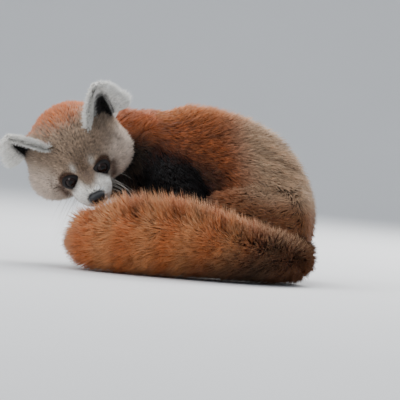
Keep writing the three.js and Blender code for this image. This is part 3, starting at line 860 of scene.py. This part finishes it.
def build_skin(coat):
    """One skin: every form's surface at the roots, joined, remeshed as one and smoothed."""
    parts = [skin_surface(head_skin, 70, 80)]
    for form, level, _ in BODY_FORMS.values():
        parts.append(skin_surface(lambda u, q, form=form, level=level: form.at(u, q, level), 60, 44))
    for stations in (FOREPAW, HINDPAW):
        for side in (-1, 1):
            for place in toe_places(stations, side):
                parts.append(ball(place, [TOE_RADIUS * 1.35, TOE_RADIUS * 0.72, TOE_RADIUS * 0.85]))
    parts += [ball(middle, half) for middle, half in PADDING]
    skin = mesh_object("skin", *joined(parts))
    remesh = skin.modifiers.new("one surface", "REMESH")
    remesh.mode = "VOXEL"
    remesh.voxel_size = VOXEL
    apply_modifiers(skin)
    relax(skin)
    points = own_points(skin)
    found = nearest(points)
    paint_points(skin, "Coat", marks(points, found, coat) * UNDERCOAT_SHADE)
    HAIR["flow"] = coat_flow(skin, found)
    skin.data.polygons.foreach_set("use_smooth", np.ones(len(skin.data.polygons), bool))
    skin.data.materials.append(undercoat_material())
    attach(skin, "root")
    legs = [a + "_" + b for a in ("foreleg", "forepaw", "hindleg", "hindpaw") for b in ("left", "right")]
    tails = ["tail_root", "tail_base", "tail_middle", "tail_end"]
    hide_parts("head", "neck", "torso", *legs, *tails)
    return skin


def apply_modifiers(thing):
    """Puts what an object's modifiers make into its mesh."""
    graph = bpy.context.evaluated_depsgraph_get()
    made = bpy.data.meshes.new_from_object(thing.evaluated_get(graph))
    thing.modifiers.clear()
    thing.data = made


def neighbours(thing):
    """Both directions of each edge of a mesh, as pairs of point numbers."""
    edges = np.empty(len(thing.data.edges) * 2, np.int32)
    thing.data.edges.foreach_get("vertices", edges)
    return np.concatenate([edges.reshape(-1, 2), edges.reshape(-1, 2)[:, ::-1]])


def eased(values, ends, share, rounds):
    """Values at points after rounds of moving each by its share of the step to its neighbours' mean."""
    count = np.bincount(ends[:, 0], minlength=len(values))[:, None]
    for _ in range(rounds):
        sums = [np.bincount(ends[:, 0], values[ends[:, 1], k], len(values)) for k in range(values.shape[1])]
        values = values + (np.stack(sums, 1) / count - values) * share[:, None]
    return values


def relax(skin):
    """Fills the creases between forms, by easing the body's points much and the head's and feet's little."""
    ends = neighbours(skin)
    points = mesh_points(skin)
    names = SAMPLES["name"][nearest((points - SHIFT) * 1000)]
    share = per_family(names, {"trunk": 0.6, "neck": 0.6, "thigh": 0.6, "tail": 0.4, "foreleg": 0.4})
    points = eased(points, ends, np.maximum(share, 0.5), 4)
    points = eased(points, ends, share, RELAX_ROUNDS)
    skin.data.vertices.foreach_set("co", points.astype(np.float32).ravel())
    skin.data.update()


def coat_flow(skin, found):
    """The lie and the depth of the coat at each point of the skin, eased across the borders of forms.

    The depth is a sample's own plus how far the relaxed skin has sunk below that sample.
    """
    normals = np.empty(len(skin.data.vertices) * 3, np.float32)
    skin.data.vertices.foreach_get("normal", normals)
    points = own_points(skin)
    sunk = ((SAMPLES["point"][found] - points) * normals.reshape(-1, 3)).sum(1)
    depth = SAMPLES["depth"][found]
    depth = np.clip(depth + sunk, 0.35 * depth, 1.5 * depth)
    flow = np.concatenate([SAMPLES["lie"][found], depth[:, None]], 1)
    share = np.where(SAMPLES["name"][found] == "head", 0.3, 0.6)
    return eased(flow, neighbours(skin), share, FLOW_ROUNDS)


def mesh_points(thing):
    """A mesh's points in metres."""
    points = np.empty(len(thing.data.vertices) * 3, np.float32)
    thing.data.vertices.foreach_get("co", points)
    return points.reshape(-1, 3).astype(float)


def own_points(thing):
    """A mesh's points in millimetres of the animal's own frame."""
    return (mesh_points(thing) - SHIFT) * 1000


def triangles(thing):
    """The corners of a mesh's triangles."""
    thing.data.calc_loop_triangles()
    corners = np.empty(len(thing.data.loop_triangles) * 3, np.int32)
    thing.data.loop_triangles.foreach_get("vertices", corners)
    return corners.reshape(-1, 3)


def skin_roots(skin, rng):
    """Roots spread over a skin by area: places, outward directions, nearest samples and the coat's flow.

    A triangle takes roots in proportion to its area times the wished tufts for each square millimetre.
    """
    corners = triangles(skin)
    a, b, c = (own_points(skin)[corners[:, i]] for i in range(3))
    cross = np.cross(b - a, c - a)
    area = np.linalg.norm(cross, axis=1) / 2
    middle = (a + b + c) / 3
    weight = area * root_density(SAMPLES["name"][nearest(middle)], middle)
    count = int(weight.sum())
    chosen = rng.choice(len(area), count, p=weight / weight.sum())
    r, s = rng.random(count), rng.random(count)
    over = r + s > 1
    r, s = np.where(over, 1 - r, r), np.where(over, 1 - s, s)
    place = a[chosen] + (b - a)[chosen] * r[:, None] + (c - a)[chosen] * s[:, None]
    weights = np.stack([1 - r - s, r, s], 1)
    flow = (HAIR["flow"][corners[chosen]] * weights[..., None]).sum(1)
    return place, unit(cross[chosen]), nearest(place), flow


# The coat


def tufts(name, root, out, lie, height, length, width, colour, uv, tip, rng, root_shade=0.5):
    """One mesh of tufts: each is a three-sided spindle that leaves its root and bends with the lie.

    Its middle line is root + out * height * (1 - (1 - s)^1.8) + lie * length * s, with s from 0 at the
    root to 1 at the tip, and a stray step that grows as s^2. It is widest at s = 0.4, and runs to a point
    at its root, inside the skin, and at its tip.
    """
    count = len(root)
    shares = np.array([0.0, 0.4, 1.0])
    rise = 1 - (1 - shares) ** 1.8
    stray = unit(rng.normal(size=(count, 3))) * (0.16 * length)[:, None]
    line = (
        root[:, None]
        + out[:, None] * (height[:, None] * rise - 0.8 * (shares == 0))[..., None]
        + lie[:, None] * (length[:, None] * shares)[..., None]
        + stray[:, None] * (shares**2)[None, :, None]
    )
    side = unit(np.cross(lie, out))
    deep = unit(np.cross(side, lie))
    angles = np.array([0, 2 * math.pi / 3, 4 * math.pi / 3]) + math.pi / 2
    ring = side[:, None] * np.cos(angles)[None, :, None] + deep[:, None] * np.sin(angles)[None, :, None] * 0.7
    high = line[:, 1, None] + ring * (0.56 * width)[:, None, None]
    points = np.concatenate([line[:, 0, None], high, line[:, 2, None]], 1)
    faces = np.array([[0, 1, 2], [0, 2, 3], [0, 3, 1], [1, 4, 2], [2, 4, 3], [3, 4, 1]])
    starts = (np.arange(count) * 5)[:, None, None]
    made = mesh_object(name, points.reshape(-1, 3), [(faces + starts).reshape(-1, 3)])
    shade = np.array([root_shade, 0.95, 0.95, 0.95, 1.0])
    tones = colour[:, None] * shade[None, :, None]
    tones[:, 4] = tip
    paint_points(made, "Coat", tones.reshape(-1, 3))
    patch = PATCH * np.array([[0.5, 0], [0, 0.5], [1, 0.5], [0.5, 0.7], [0.5, 1]])
    spread = (uv[:, None] + patch[None]).reshape(-1, 2)
    corners = np.empty(len(made.data.loops), np.int32)
    made.data.loops.foreach_get("vertex_index", corners)
    layer = made.data.uv_layers.new(name="OFBake")
    layer.data.foreach_set("uv", spread[corners].astype(np.float32).ravel())
    made.data.materials.append(HAIR["material"])
    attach(made, "root")
    return made


HAIR = {"material": None, "skin": None}



def family(names):
    """The kind of form that each name belongs to: its first word, and paw for both kinds of paw."""
    known, places = np.unique(names, return_inverse=True)
    kinds = [str(name).split("_")[0] for name in known]
    kinds = np.array(["paw" if kind.endswith("paw") else kind for kind in kinds])
    return kinds[places]


def per_family(names, table):
    """A number for each name, from a table by family."""
    kinds = family(names)
    made = np.zeros(len(names))
    for kind, value in table.items():
        made[kinds == kind] = value
    return made


def coat_roots():
    """Every root of the coat, with its nearest sample and the coat's flow, clear of the eyes and the nose."""
    place, out, found, flow = skin_roots(HAIR["skin"], np.random.default_rng(RNG_SEED))
    head = to_head(place)
    bare = np.zeros(len(place), bool)
    for side in (-1, 1):
        offset = head - eye_place(side)
        ahead = offset @ eye_gaze(side)
        off_axis = np.linalg.norm(offset - ahead[:, None] * eye_gaze(side), axis=1)
        bare |= (off_axis < 7.4) & (ahead > -2)
    pad = np.hypot(head[:, 0] / 9.5, (head[:, 2] + NOSE_LOW) / 6.8)
    bare |= (pad < 1) & (head[:, 1] > 22)
    sole = (place[:, 2] < 7) & (out[:, 2] < -0.25)
    keep = ~(bare | sole)
    return place[keep], out[keep], found[keep], flow[keep]


def root_density(names, at):
    """Roots for each square millimetre: most on the face, and few where the body rests on the floor."""
    wished = per_family(names, DENSITY)
    head = to_head(at)
    face = smooth(head[:, 1], -45, -10) * (names == "head")
    return wished * (1 + 1.2 * face) * np.where(at[:, 2] < 2.0, 0.15, 1.0)


def lie_of(flow, place, out, names):
    """The lie of the coat: along the form, on the skin's own slope, and swept into loose locks."""
    lie = unit(flow[:, :3])
    swirl = np.stack([ripple(place, 34, t) for t in (0.0, 1.3, 2.6)], -1)
    strong = per_family(names, {"trunk": 0.3, "neck": 0.3, "tail": 0.45, "thigh": 0.35, "head": 0.25})
    lie = lie + swirl * strong[:, None]
    lie = lie - out * (lie * out).sum(1)[:, None]
    down = np.array([0.15, -0.1, -1.0])
    return unit(mix(unit(lie), down, fringe_share(place, out, names)))


def fringe_share(place, out, names):
    """How far the coat hangs: 1 under the neck and the chest and 0 elsewhere."""
    front = np.isin(names, ("trunk", "neck")) * smooth(-place[:, 0], 40, 70)
    return 0.85 * front * smooth(-out[:, 2], 0.0, 0.6)


def build_coat(coat):
    """The coat of every form but the ears, in pieces."""
    rng = np.random.default_rng(RNG_SEED + 1)
    place, out, found, flow = coat_roots()
    names = SAMPLES["name"][found]
    kinds = family(names)
    on_tail, on_head = kinds == "tail", kinds == "head"
    head = to_head(place)
    lie = lie_of(flow, place, out, names)
    lump = ripple(place, 15, 0.7)
    ruff = on_head * smooth(np.abs(head[:, 0]), 30, 46) * smooth(-head[:, 1], 14, 34)
    face = on_head * smooth(head[:, 1], -50, -8)
    upper = smooth(out[:, 2], -0.1, 0.8)
    fringe = fringe_share(place, out, names)
    lie = unit(lie + out * (0.6 * ruff)[:, None])
    clump = 1 + 0.5 * ruff + 0.16 * lump + 0.12 * rng.standard_normal(len(place))
    length = per_family(names, LENGTHS) * np.clip(clump, 0.55, 1.4) * coat.length
    length = np.where(on_tail, 8 + 14 * (1 - upper), length * (1 + 0.5 * fringe) * (1 - 0.62 * face))
    height = flow[:, 3] * np.clip(0.86 + 0.12 * lump + 0.1 * rng.standard_normal(len(place)), 0.4, 1.12)
    height = height + 1.5 * fold_wave(place) * np.isin(kinds, ("trunk", "thigh"))
    height = height * (1 + 0.3 * on_tail * upper * (rng.random(len(place)) > 0.6))
    chin = np.linalg.norm(place - from_head(np.array([0.0, 26.0, -26.0])), axis=1)
    height = height * (1 - 0.65 * on_tail * smooth(-chin, -42, -18))
    fine = np.where(np.isin(kinds, ("paw", "tail")), 0.75, 1)
    width = coat.width * 1000 * (1 - 0.5 * face) * fine * rng.uniform(0.7, 1.25, len(place))
    colour = marks(place, found, coat) * rng.uniform(0.78, 1.2, len(place))[:, None]
    pale = per_family(names, {"trunk": 0.22, "thigh": 0.3, "tail": 0.25, "neck": 0.15, "head": 0.2})
    # The paler tips are partly the hair's own ticking; on the tail's upper side they are also painted rim
    # light, where the light catches the tips from behind.
    pale = pale + 0.6 * on_tail * upper
    tip = mix(colour * 1.1, linear("#d9b48a"), pale * rng.random(len(place)))
    uv = SAMPLES["uv"][found]
    for kind in ("trunk", "neck", "tail", "thigh", "foreleg", "paw", "head"):
        chosen = np.flatnonzero(kinds == kind)
        for i, own in enumerate(np.array_split(chosen, max(1, math.ceil(len(chosen) / COAT_PIECE)))):
            measures = [given[own] for given in (place, out, lie, height, length, width, colour, uv, tip)]
            piece = tufts(f"coat_{kind}_{i + 1}", *measures, rng)
            SLOTS.get(kind, "coat_russet")


# The ears


def ear_axes(side):
    """An ear's root, height, and its up, facing and wide directions, in the head's frame."""
    ear = EARS[side]
    root, tip = np.array(ear["root"], float), np.array(ear["tip"], float)
    up = unit(tip - root)
    facing = looking_to(side * ear["outward"], 0.0)
    facing = unit(facing - up * (facing @ up))
    return root, np.linalg.norm(tip - root), up, facing, np.cross(facing, up)


def ear_at(side, v, q, inset):
    """A cupped shell: v runs from the root to the tip and q goes round its thin bent section.

    The section is a thin leaf, bent forward at its edges by the cup times cos(q)^2 and back at its middle
    by 0.42 of the cup times sin(q)^2. It narrows to the tip as (1 - v^1.4)^0.7. inset makes it smaller.
    """
    root, height, up, facing, wide = ear_axes(side)
    share = np.maximum(0, 1 - np.maximum(v, 0) ** 1.4) ** 0.7
    opened = smooth(v, -0.2, 0.3) * share
    c, s = np.cos(q), np.sin(q)
    bend = EAR_CUP * opened * (c * c - 0.42 * s * s)
    half = np.maximum(EAR_WIDE * share * (0.55 + 0.45 * smooth(v, -0.4, 0.12)) - inset, 0.4)
    return (
        root
        + up * (v * (height - inset))[..., None]
        + wide * (half * c)[..., None]
        + facing * (bend + EAR_SKIN * s)[..., None]
    )


def ear_roots(side, rng):
    """Roots over an ear: places, outward directions, the share v and the angle q."""
    v = rng.uniform(0.0, 0.985, EAR_TUFTS * 2)
    q = rng.uniform(0, 2 * math.pi, EAR_TUFTS * 2)
    keep = rng.random(EAR_TUFTS * 2) < np.maximum(0.25, (1 - v**1.4) ** 0.7)
    v, q = v[keep][:EAR_TUFTS], q[keep][:EAR_TUFTS]
    point = ear_at(side, v, q, EAR_INSET)
    along = ear_at(side, v + 0.01, q, EAR_INSET) - ear_at(side, v - 0.01, q, EAR_INSET)
    around = ear_at(side, v, q + 0.03, EAR_INSET) - ear_at(side, v, q - 0.03, EAR_INSET)
    return point, unit(np.cross(around, along)), v, q


def build_ear(side, coat):
    """One ear: a thin shell, white outside and at its rim, and black-brown in its cup."""
    name = "left" if side < 0 else "right"
    rng = np.random.default_rng(RNG_SEED + 5 + side)
    v, q = round_grid(np.linspace(-0.3, 0.992, 40), 48)
    shell = mesh_object("ear_" + name + "_shell", *closed_grid(from_head(ear_at(side, v, q, EAR_INSET))))
    inner = smooth(np.sin(q), 0.1, 0.3) * smooth(-v, -0.74, -0.58) * smooth(-np.abs(np.cos(q)), -0.64, -0.5)
    tones = mix(plain(coat.white, v.shape), coat.cup, inner)
    ends = np.array([tones[0, 0], tones[-1, 0]])
    paint_points(shell, "Coat", np.concatenate([tones.reshape(-1, 3), ends]))
    shell.data.materials.append(HAIR["material"])
    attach(shell, "root")
    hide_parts("ear_" + name)
    point, out, v, q = ear_roots(side, rng)
    root, _, up, facing, wide = ear_axes(side)
    edge = np.abs(np.cos(q))
    rim = smooth(edge, 0.5, 0.85)
    cup = smooth(np.sin(q), 0.1, 0.35) * smooth(-v, -0.76, -0.6) * smooth(-edge, -0.68, -0.52)
    outward = wide * np.sign(np.cos(q))[:, None]
    stray = 0.4 * rng.standard_normal((len(v), 3)) * rim[:, None]
    out = unit(out + (outward + facing) * (0.45 * rim)[:, None] + stray)
    fluff = smooth(-v, -0.5, -0.1) * smooth(side * np.cos(q), 0.4, 0.9)
    lie = unit(up * 0.8 + outward * (0.8 * rim)[:, None] + facing * (0.35 * rim)[:, None] + out * 0.1)
    lie = np.where((cup > 0.5)[:, None], unit(up * 0.6 - outward * 0.5 + out * 0.3), lie)
    size = np.clip(1 + 0.25 * rng.standard_normal(len(v)), 0.5, 1.6)
    length = (4.5 + 2.5 * rim + 3.0 * fluff) * size * (1 - 0.25 * cup) * (1 - 0.5 * smooth(v, 0.7, 0.95))
    height = (2.6 + 1.8 * rim) * size
    buff = smooth(-v, -0.45, -0.1) * (1 - cup) * smooth(-np.sin(q), 0.1, 0.6)
    colour = painted(plain(coat.white, len(v)), [(coat.cup, cup), (coat.crown, 0.5 * buff)])
    colour = colour * rng.uniform(0.8, 1.15, len(v))[:, None]
    uv = np.stack([0.76 + 0.22 * v, 0.76 + 0.11 * (side > 0) + 0.1 * q / (2 * math.pi)], -1)
    piece = tufts(
        "coat_ear_" + name, from_head(point), out @ HEAD_AXES.T, lie @ HEAD_AXES.T, height, length,
        np.full(len(v), coat.width * 800), colour, uv, colour * 1.05, rng, 0.85,
    )


# The eyes, the nose, the mouth, the claws and the whiskers


def build_eye(side):
    """An eye: a ball with a bulged cornea about its gaze, and a soft rim of lid round it.

    The ball's point is its middle + gaze * cos(a) + ring * sin(a), times a radius that is larger near the
    gaze. The lid is the profile LID carried once round the line of gaze, flatter above.
    """
    name = "left" if side < 0 else "right"
    middle = eye_place(side)
    gaze = eye_gaze(side)
    right = unit(np.cross(gaze, [0.0, 0.0, 1.0]))
    up = np.cross(right, gaze)
    a, q = round_grid(np.linspace(0.03, math.pi - 0.05, 48), 64)
    radius = EYE_RADIUS + 0.35 * smooth(-a, -0.75, -0.3)
    ring = right * np.cos(q)[..., None] + up * np.sin(q)[..., None]
    shell = middle + (gaze * np.cos(a)[..., None] + ring * np.sin(a)[..., None]) * radius[..., None]
    points, faces = closed_grid(from_head(shell))
    eye = mesh_object("eyeball_" + name, points, faces)
    layer = eye.data.attributes.new("Gaze", "FLOAT", "POINT")
    angles = np.concatenate([a.ravel(), [0.0, math.pi]])
    layer.data.foreach_set("value", np.clip(angles / 1.2, 0, 1).astype(np.float32))
    eye.data.materials.append(FACE["eye"])
    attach(eye, "root")
    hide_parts("eye_" + name)
    curve = through(LID, np.linspace(0, 1, 26))
    q = np.linspace(0, 2 * math.pi, 56, endpoint=False)
    droop = 1 - 0.12 * np.maximum(np.sin(q), 0)
    out = curve[:, None, 0] * np.ones_like(q)
    lid = (
        middle
        + gaze * (curve[:, None, 1] * np.ones_like(q))[..., None]
        + right * (out * np.cos(q) * 1.04)[..., None]
        + up * (out * np.sin(q) * 0.9 * droop)[..., None]
    )
    points = from_head(lid).reshape(-1, 3)
    rows, columns = lid.shape[:2]
    faces = grid_faces(rows, columns)[:, ::-1]
    wrap = np.stack([np.arange(columns), (np.arange(columns) + 1) % columns], -1)
    last = (rows - 1) * columns
    seam = np.stack([last + wrap[:, 0], wrap[:, 0], wrap[:, 1], last + wrap[:, 1]], -1)
    rim = mesh_object("eyelid_" + name, points, [np.concatenate([faces, seam])])
    outward_faces(rim)
    rim.data.materials.append(FACE["lid"])
    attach(rim, "root")


def outward_faces(thing):
    """Turns a closed mesh's faces outwards if the volume they enclose is negative."""
    corners = triangles(thing)
    points = mesh_points(thing)
    a, b, c = ((points - points.mean(0))[corners[:, i]] for i in range(3))
    if (a * np.cross(b, c)).sum() < 0:
        thing.data.flip_normals()


def build_nose():
    """The nose pad and the lips.

    The pad is a unit ball squared by (|x|^n + |y|^n + |z|^n)^(-1/n) and wider above, with bell-shaped
    hollows for two comma nostrils and a groove down its middle. The lips are tubes along the mouth's line.
    """
    a, q = round_grid(np.linspace(0.04, math.pi - 0.04, 72), 96)
    ball_points = np.stack([np.sin(a) * np.cos(q), np.cos(a), np.sin(a) * np.sin(q)])
    x, y, z = ball_points * (np.abs(ball_points) ** NOSE_SQUARE).sum(0) ** (-1 / NOSE_SQUARE)
    px, py, pz = x * (NOSE_HALF[0] * (1 + 0.18 * z)), y * NOSE_HALF[1], z * NOSE_HALF[2]
    front = smooth(y, 0.1, 0.6)
    hole = np.exp(-(((np.abs(px) - 4.1) / 1.7) ** 2) - ((pz + 0.6) / 1.5) ** 2)
    trail = np.exp(-(((np.abs(px) - 7.0) / 2.0) ** 2) - ((pz + 1.8) / 0.9) ** 2)
    groove = np.exp(-((px / 0.7) ** 2)) * smooth(-pz, -1.5, 2.0)
    crease = np.exp(-(((np.abs(px) - 4.1) / 3.2) ** 2) - ((pz + 0.4) / 2.8) ** 2)
    py = py - front * (3.8 * hole + 1.6 * trail + 0.8 * groove - 0.5 * crease)
    points = np.stack([px, py + NOSE_FORWARD, pz - NOSE_LOW], -1)
    nose = mesh_object("nose_pad", *closed_grid(from_head(points)))
    outward_faces(nose)
    nose.data.materials.append(FACE["nose"])
    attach(nose, "root")
    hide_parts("nose")
    parts = []
    for side in (-1, 1):
        way = looking_to(np.array([side * t for t, _ in MOUTH]), np.array([r for _, r in MOUTH], float))
        lip = head_point(way, 1.7)
        path = through(lip, np.linspace(0, 1, 30))
        size = 1.5 * np.sin(np.linspace(0.5, math.pi - 0.3, 30)) ** 0.5
        parts.append(tube(from_head(path), size, 10))
    lips = mesh_object("lips", *joined(parts))
    outward_faces(lips)
    lips.data.materials.append(FACE["nose"])
    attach(lips, "root")


def build_claws():
    """Twenty claws: a circle that shrinks to a point along a path that droops as the share squared."""
    s = np.linspace(0, 1, 12)
    parts = []
    for stations in (FOREPAW, HINDPAW):
        for side in (-1, 1):
            for toe in toe_places(stations, side):
                path = toe + np.stack([-(4 + CLAW_LENGTH * s), 0 * s, 1.4 + 0.9 * s - CLAW_DROOP * s**2], -1)
                parts.append(tube(path, CLAW_RADIUS * (1 - s) ** 0.6 + 0.05, 10, 0.75))
    claws = mesh_object("claws", *joined(parts))
    outward_faces(claws)
    claws.data.materials.append(FACE["claw"])
    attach(claws, "root")


def build_whiskers(face):
    """Whiskers: thin tubes from the lips and the cheeks, that leave the face and droop as s^2.2."""
    rng = np.random.default_rng(RNG_SEED + 9)
    s = np.linspace(0, 1, 12)
    rows = [(turn, rise, 40 + 4 * (turn - 20) / 7) for turn in (20, 27, 34) for rise in (-6, -10.5, -15)]
    rows.append((56, -18, 28))
    parts = []
    for side in (-1, 1):
        for turn, rise, reach in rows:
            turned = side * (turn + rng.normal() * 1.5)
            out = looking_to(np.array(turned), np.array(rise + rng.normal() * 1.2))
            root = head_point(out[None], 1.0)[0]
            fan = rng.normal(size=2)
            way = unit(out + np.array([side * 0.8, 0.2 + 0.3 * fan[0], -0.3 + 0.4 * fan[1]]))
            size = reach * rng.uniform(0.75, 1.15)
            path = from_head(root + way * (size * s)[:, None])
            path[:, 2] -= 0.42 * size * s**2.2
            parts.append(tube(path, face.whisker * 500 * (1 - 0.85 * s), 6))
    made = mesh_object("whiskers", *joined(parts))
    outward_faces(made)
    made.data.materials.append(FACE["whisker"])
    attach(made, "root")


# The stage


def build_stage():
    """A pale floor that curves up far behind, soft lights, and the camera at the photograph's angle."""
    across = np.linspace(-9, 9, 9)
    bend = np.linspace(0, math.pi / 2, 14)
    run = np.concatenate([[-9.0, 0.0, 2.6], 3.4 + 1.6 * np.sin(bend), [5.0]])
    rise = np.concatenate([[0.0, 0.0, 0.0], 1.6 - 1.6 * np.cos(bend), [5.0]])
    x, y = np.meshgrid(across, run)
    points = np.stack([x, y, np.tile(rise[:, None], (1, len(across)))], -1).reshape(-1, 3)
    rows, columns = x.shape
    a = np.arange(rows * columns).reshape(rows, columns)[:-1, :-1].ravel()
    faces = np.stack([a, a + 1, a + columns + 1, a + columns], -1)
    floor = mesh_object("studio_floor", (points - SHIFT) * 1000, [faces])
    material, tree = new_material("painted_floor")
    mottle = pattern(tree, "ShaderNodeTexNoise", Scale=3)
    links = [(mottle.outputs["Fac"], "Value")]
    tone = add_node(tree, "ShaderNodeMapRange", links=links, To_Min=0.74, To_Max=0.78)
    finish_material(tree, tone, Roughness=0.9)
    floor.data.materials.append(material)
    floor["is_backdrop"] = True
    world = bpy.data.worlds.new("soft_room")
    world.use_nodes = True
    world.node_tree.nodes["Background"].inputs["Color"].default_value = (0.86, 0.92, 1.0, 1)
    world.node_tree.nodes["Background"].inputs["Strength"].default_value = 0.75
    bpy.context.scene.world = world
    for light in LIGHTS:
        add_light(*light)
    add_camera()


def add_light(name, at, size, power):
    """A square soft light that points at the animal."""
    data = bpy.data.lights.new(name, "AREA")
    data.size = size
    data.energy = power
    light = bpy.data.objects.new(name, data)
    bpy.context.scene.collection.objects.link(light)
    light.location = at
    back = unit(np.array(at) - np.array([0, 0, 0.1]))
    right = unit(np.cross([0, 0, 1.0], back))
    light.matrix_world = axes_matrix(right, np.cross(back, right), back, at)


def axes_matrix(right, up, back, at):
    """A placement from three directions and a point."""
    matrix = np.eye(4)
    matrix[:3, 0], matrix[:3, 1], matrix[:3, 2], matrix[:3, 3] = right, up, back, at
    return Matrix(matrix.tolist())


def add_camera():
    """The camera: far off, a little above level, and rolled as the photograph's is."""
    roll, lift = np.radians(CAMERA_ROLL), np.radians(CAMERA_LIFT)
    target = in_frame(np.array(CAMERA_TARGET))
    side, over = np.array([1.0, 0, 0]), np.array([0, math.sin(lift), math.cos(lift)])
    back = np.array([0, -math.cos(lift), math.sin(lift)])
    right = math.cos(roll) * side + math.sin(roll) * over
    up = math.cos(roll) * over - math.sin(roll) * side
    data = bpy.data.cameras.new("view")
    data.sensor_width = 36
    data.lens = data.sensor_width * CAMERA_AWAY / CAMERA_WIDTH
    camera = bpy.data.objects.new("view", data)
    bpy.context.scene.collection.objects.link(camera)
    camera.matrix_world = axes_matrix(right, up, back, target + back * CAMERA_AWAY)
    bpy.context.scene.camera = camera


# Operators, the panel and the run

SAMPLES = {}
FACE = {}


class PANDA_OT_skin(bpy.types.Operator):
    """Makes the skin and the samples that say how the coat lies"""

    bl_idname = "panda.skin"
    bl_label = "Skin"

    def execute(self, context):
        SAMPLES.update(all_samples())
        HAIR["material"] = hair_material()
        HAIR["skin"] = build_skin(context.scene.panda_coat)
        return {"FINISHED"}


class PANDA_OT_coat(bpy.types.Operator):
    """Grows the coat over the skin"""

    bl_idname = "panda.coat"
    bl_label = "Coat"

    def execute(self, context):
        build_coat(context.scene.panda_coat)
        return {"FINISHED"}


class PANDA_OT_ears(bpy.types.Operator):
    """Makes both ears"""

    bl_idname = "panda.ears"
    bl_label = "Ears"

    def execute(self, context):
        for side in (-1, 1):
            build_ear(side, context.scene.panda_coat)
        return {"FINISHED"}


class PANDA_OT_face(bpy.types.Operator):
    """Makes the eyes, the lids, the nose and the lips"""

    bl_idname = "panda.face"
    bl_label = "Eyes and nose"

    def execute(self, context):
        face = context.scene.panda_face
        FACE["eye"] = eye_material(tuple(face.iris))
        FACE["lid"] = leather_material("lid_skin", tuple(face.lid), 0.7, 900, 0.0003, 0.0)
        FACE["nose"] = leather_material("nose_leather", tuple(face.leather), 0.45, 1300, 0.0004, 0.15)
        for side in (-1, 1):
            build_eye(side)
        build_nose()
        return {"FINISHED"}


class PANDA_OT_claws(bpy.types.Operator):
    """Makes the claws"""

    bl_idname = "panda.claws"
    bl_label = "Claws"

    def execute(self, context):
        FACE["claw"] = horn_material("claw_horn", tuple(context.scene.panda_face.claw), 0.35)
        build_claws()
        return {"FINISHED"}


class PANDA_OT_whiskers(bpy.types.Operator):
    """Makes the whiskers"""

    bl_idname = "panda.whiskers"
    bl_label = "Whiskers"

    def execute(self, context):
        FACE["whisker"] = horn_material("whisker_hair", (0.5, 0.47, 0.42), 0.5)
        build_whiskers(context.scene.panda_face)
        return {"FINISHED"}


class PANDA_OT_stage(bpy.types.Operator):
    """Sets the floor, the lights and the camera"""

    bl_idname = "panda.stage"
    bl_label = "Stage"

    def execute(self, context):
        build_stage()
        return {"FINISHED"}


class PANDA_PT_panel(bpy.types.Panel):
    """Lists the pieces and their settings"""

    bl_idname = "PANDA_PT_panel"
    bl_label = "Red panda"
    bl_space_type = "VIEW_3D"
    bl_region_type = "UI"
    bl_category = "Red panda"

    def draw(self, context):
        for step in STEPS:
            self.layout.operator("panda." + step)
        for group in (context.scene.panda_coat, context.scene.panda_face):
            for key in group.__annotations__:
                self.layout.prop(group, key)


CLASSES = (
    PandaCoat,
    PandaFace,
    PANDA_OT_skin,
    PANDA_OT_coat,
    PANDA_OT_ears,
    PANDA_OT_face,
    PANDA_OT_claws,
    PANDA_OT_whiskers,
    PANDA_OT_stage,
    PANDA_PT_panel,
)
STEPS = ("stage", "skin", "coat", "ears", "face", "claws", "whiskers")


def register():
    for item in CLASSES:
        bpy.utils.register_class(item)
    bpy.types.Scene.panda_coat = bpy.props.PointerProperty(type=PandaCoat)
    bpy.types.Scene.panda_face = bpy.props.PointerProperty(type=PandaFace)


def unregister():
    del bpy.types.Scene.panda_coat
    del bpy.types.Scene.panda_face
    for item in reversed(CLASSES):
        bpy.utils.unregister_class(item)


def main():
    """Makes everything in order."""
    register()
    for step in STEPS:
        getattr(bpy.ops.panda, step)()
    boxes = {"cad": CAD_BOX, "visual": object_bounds()}
    plain = {key: [[float(v) for v in corner] for corner in box] for key, box in boxes.items()}


if __name__ == "__main__":
    main()
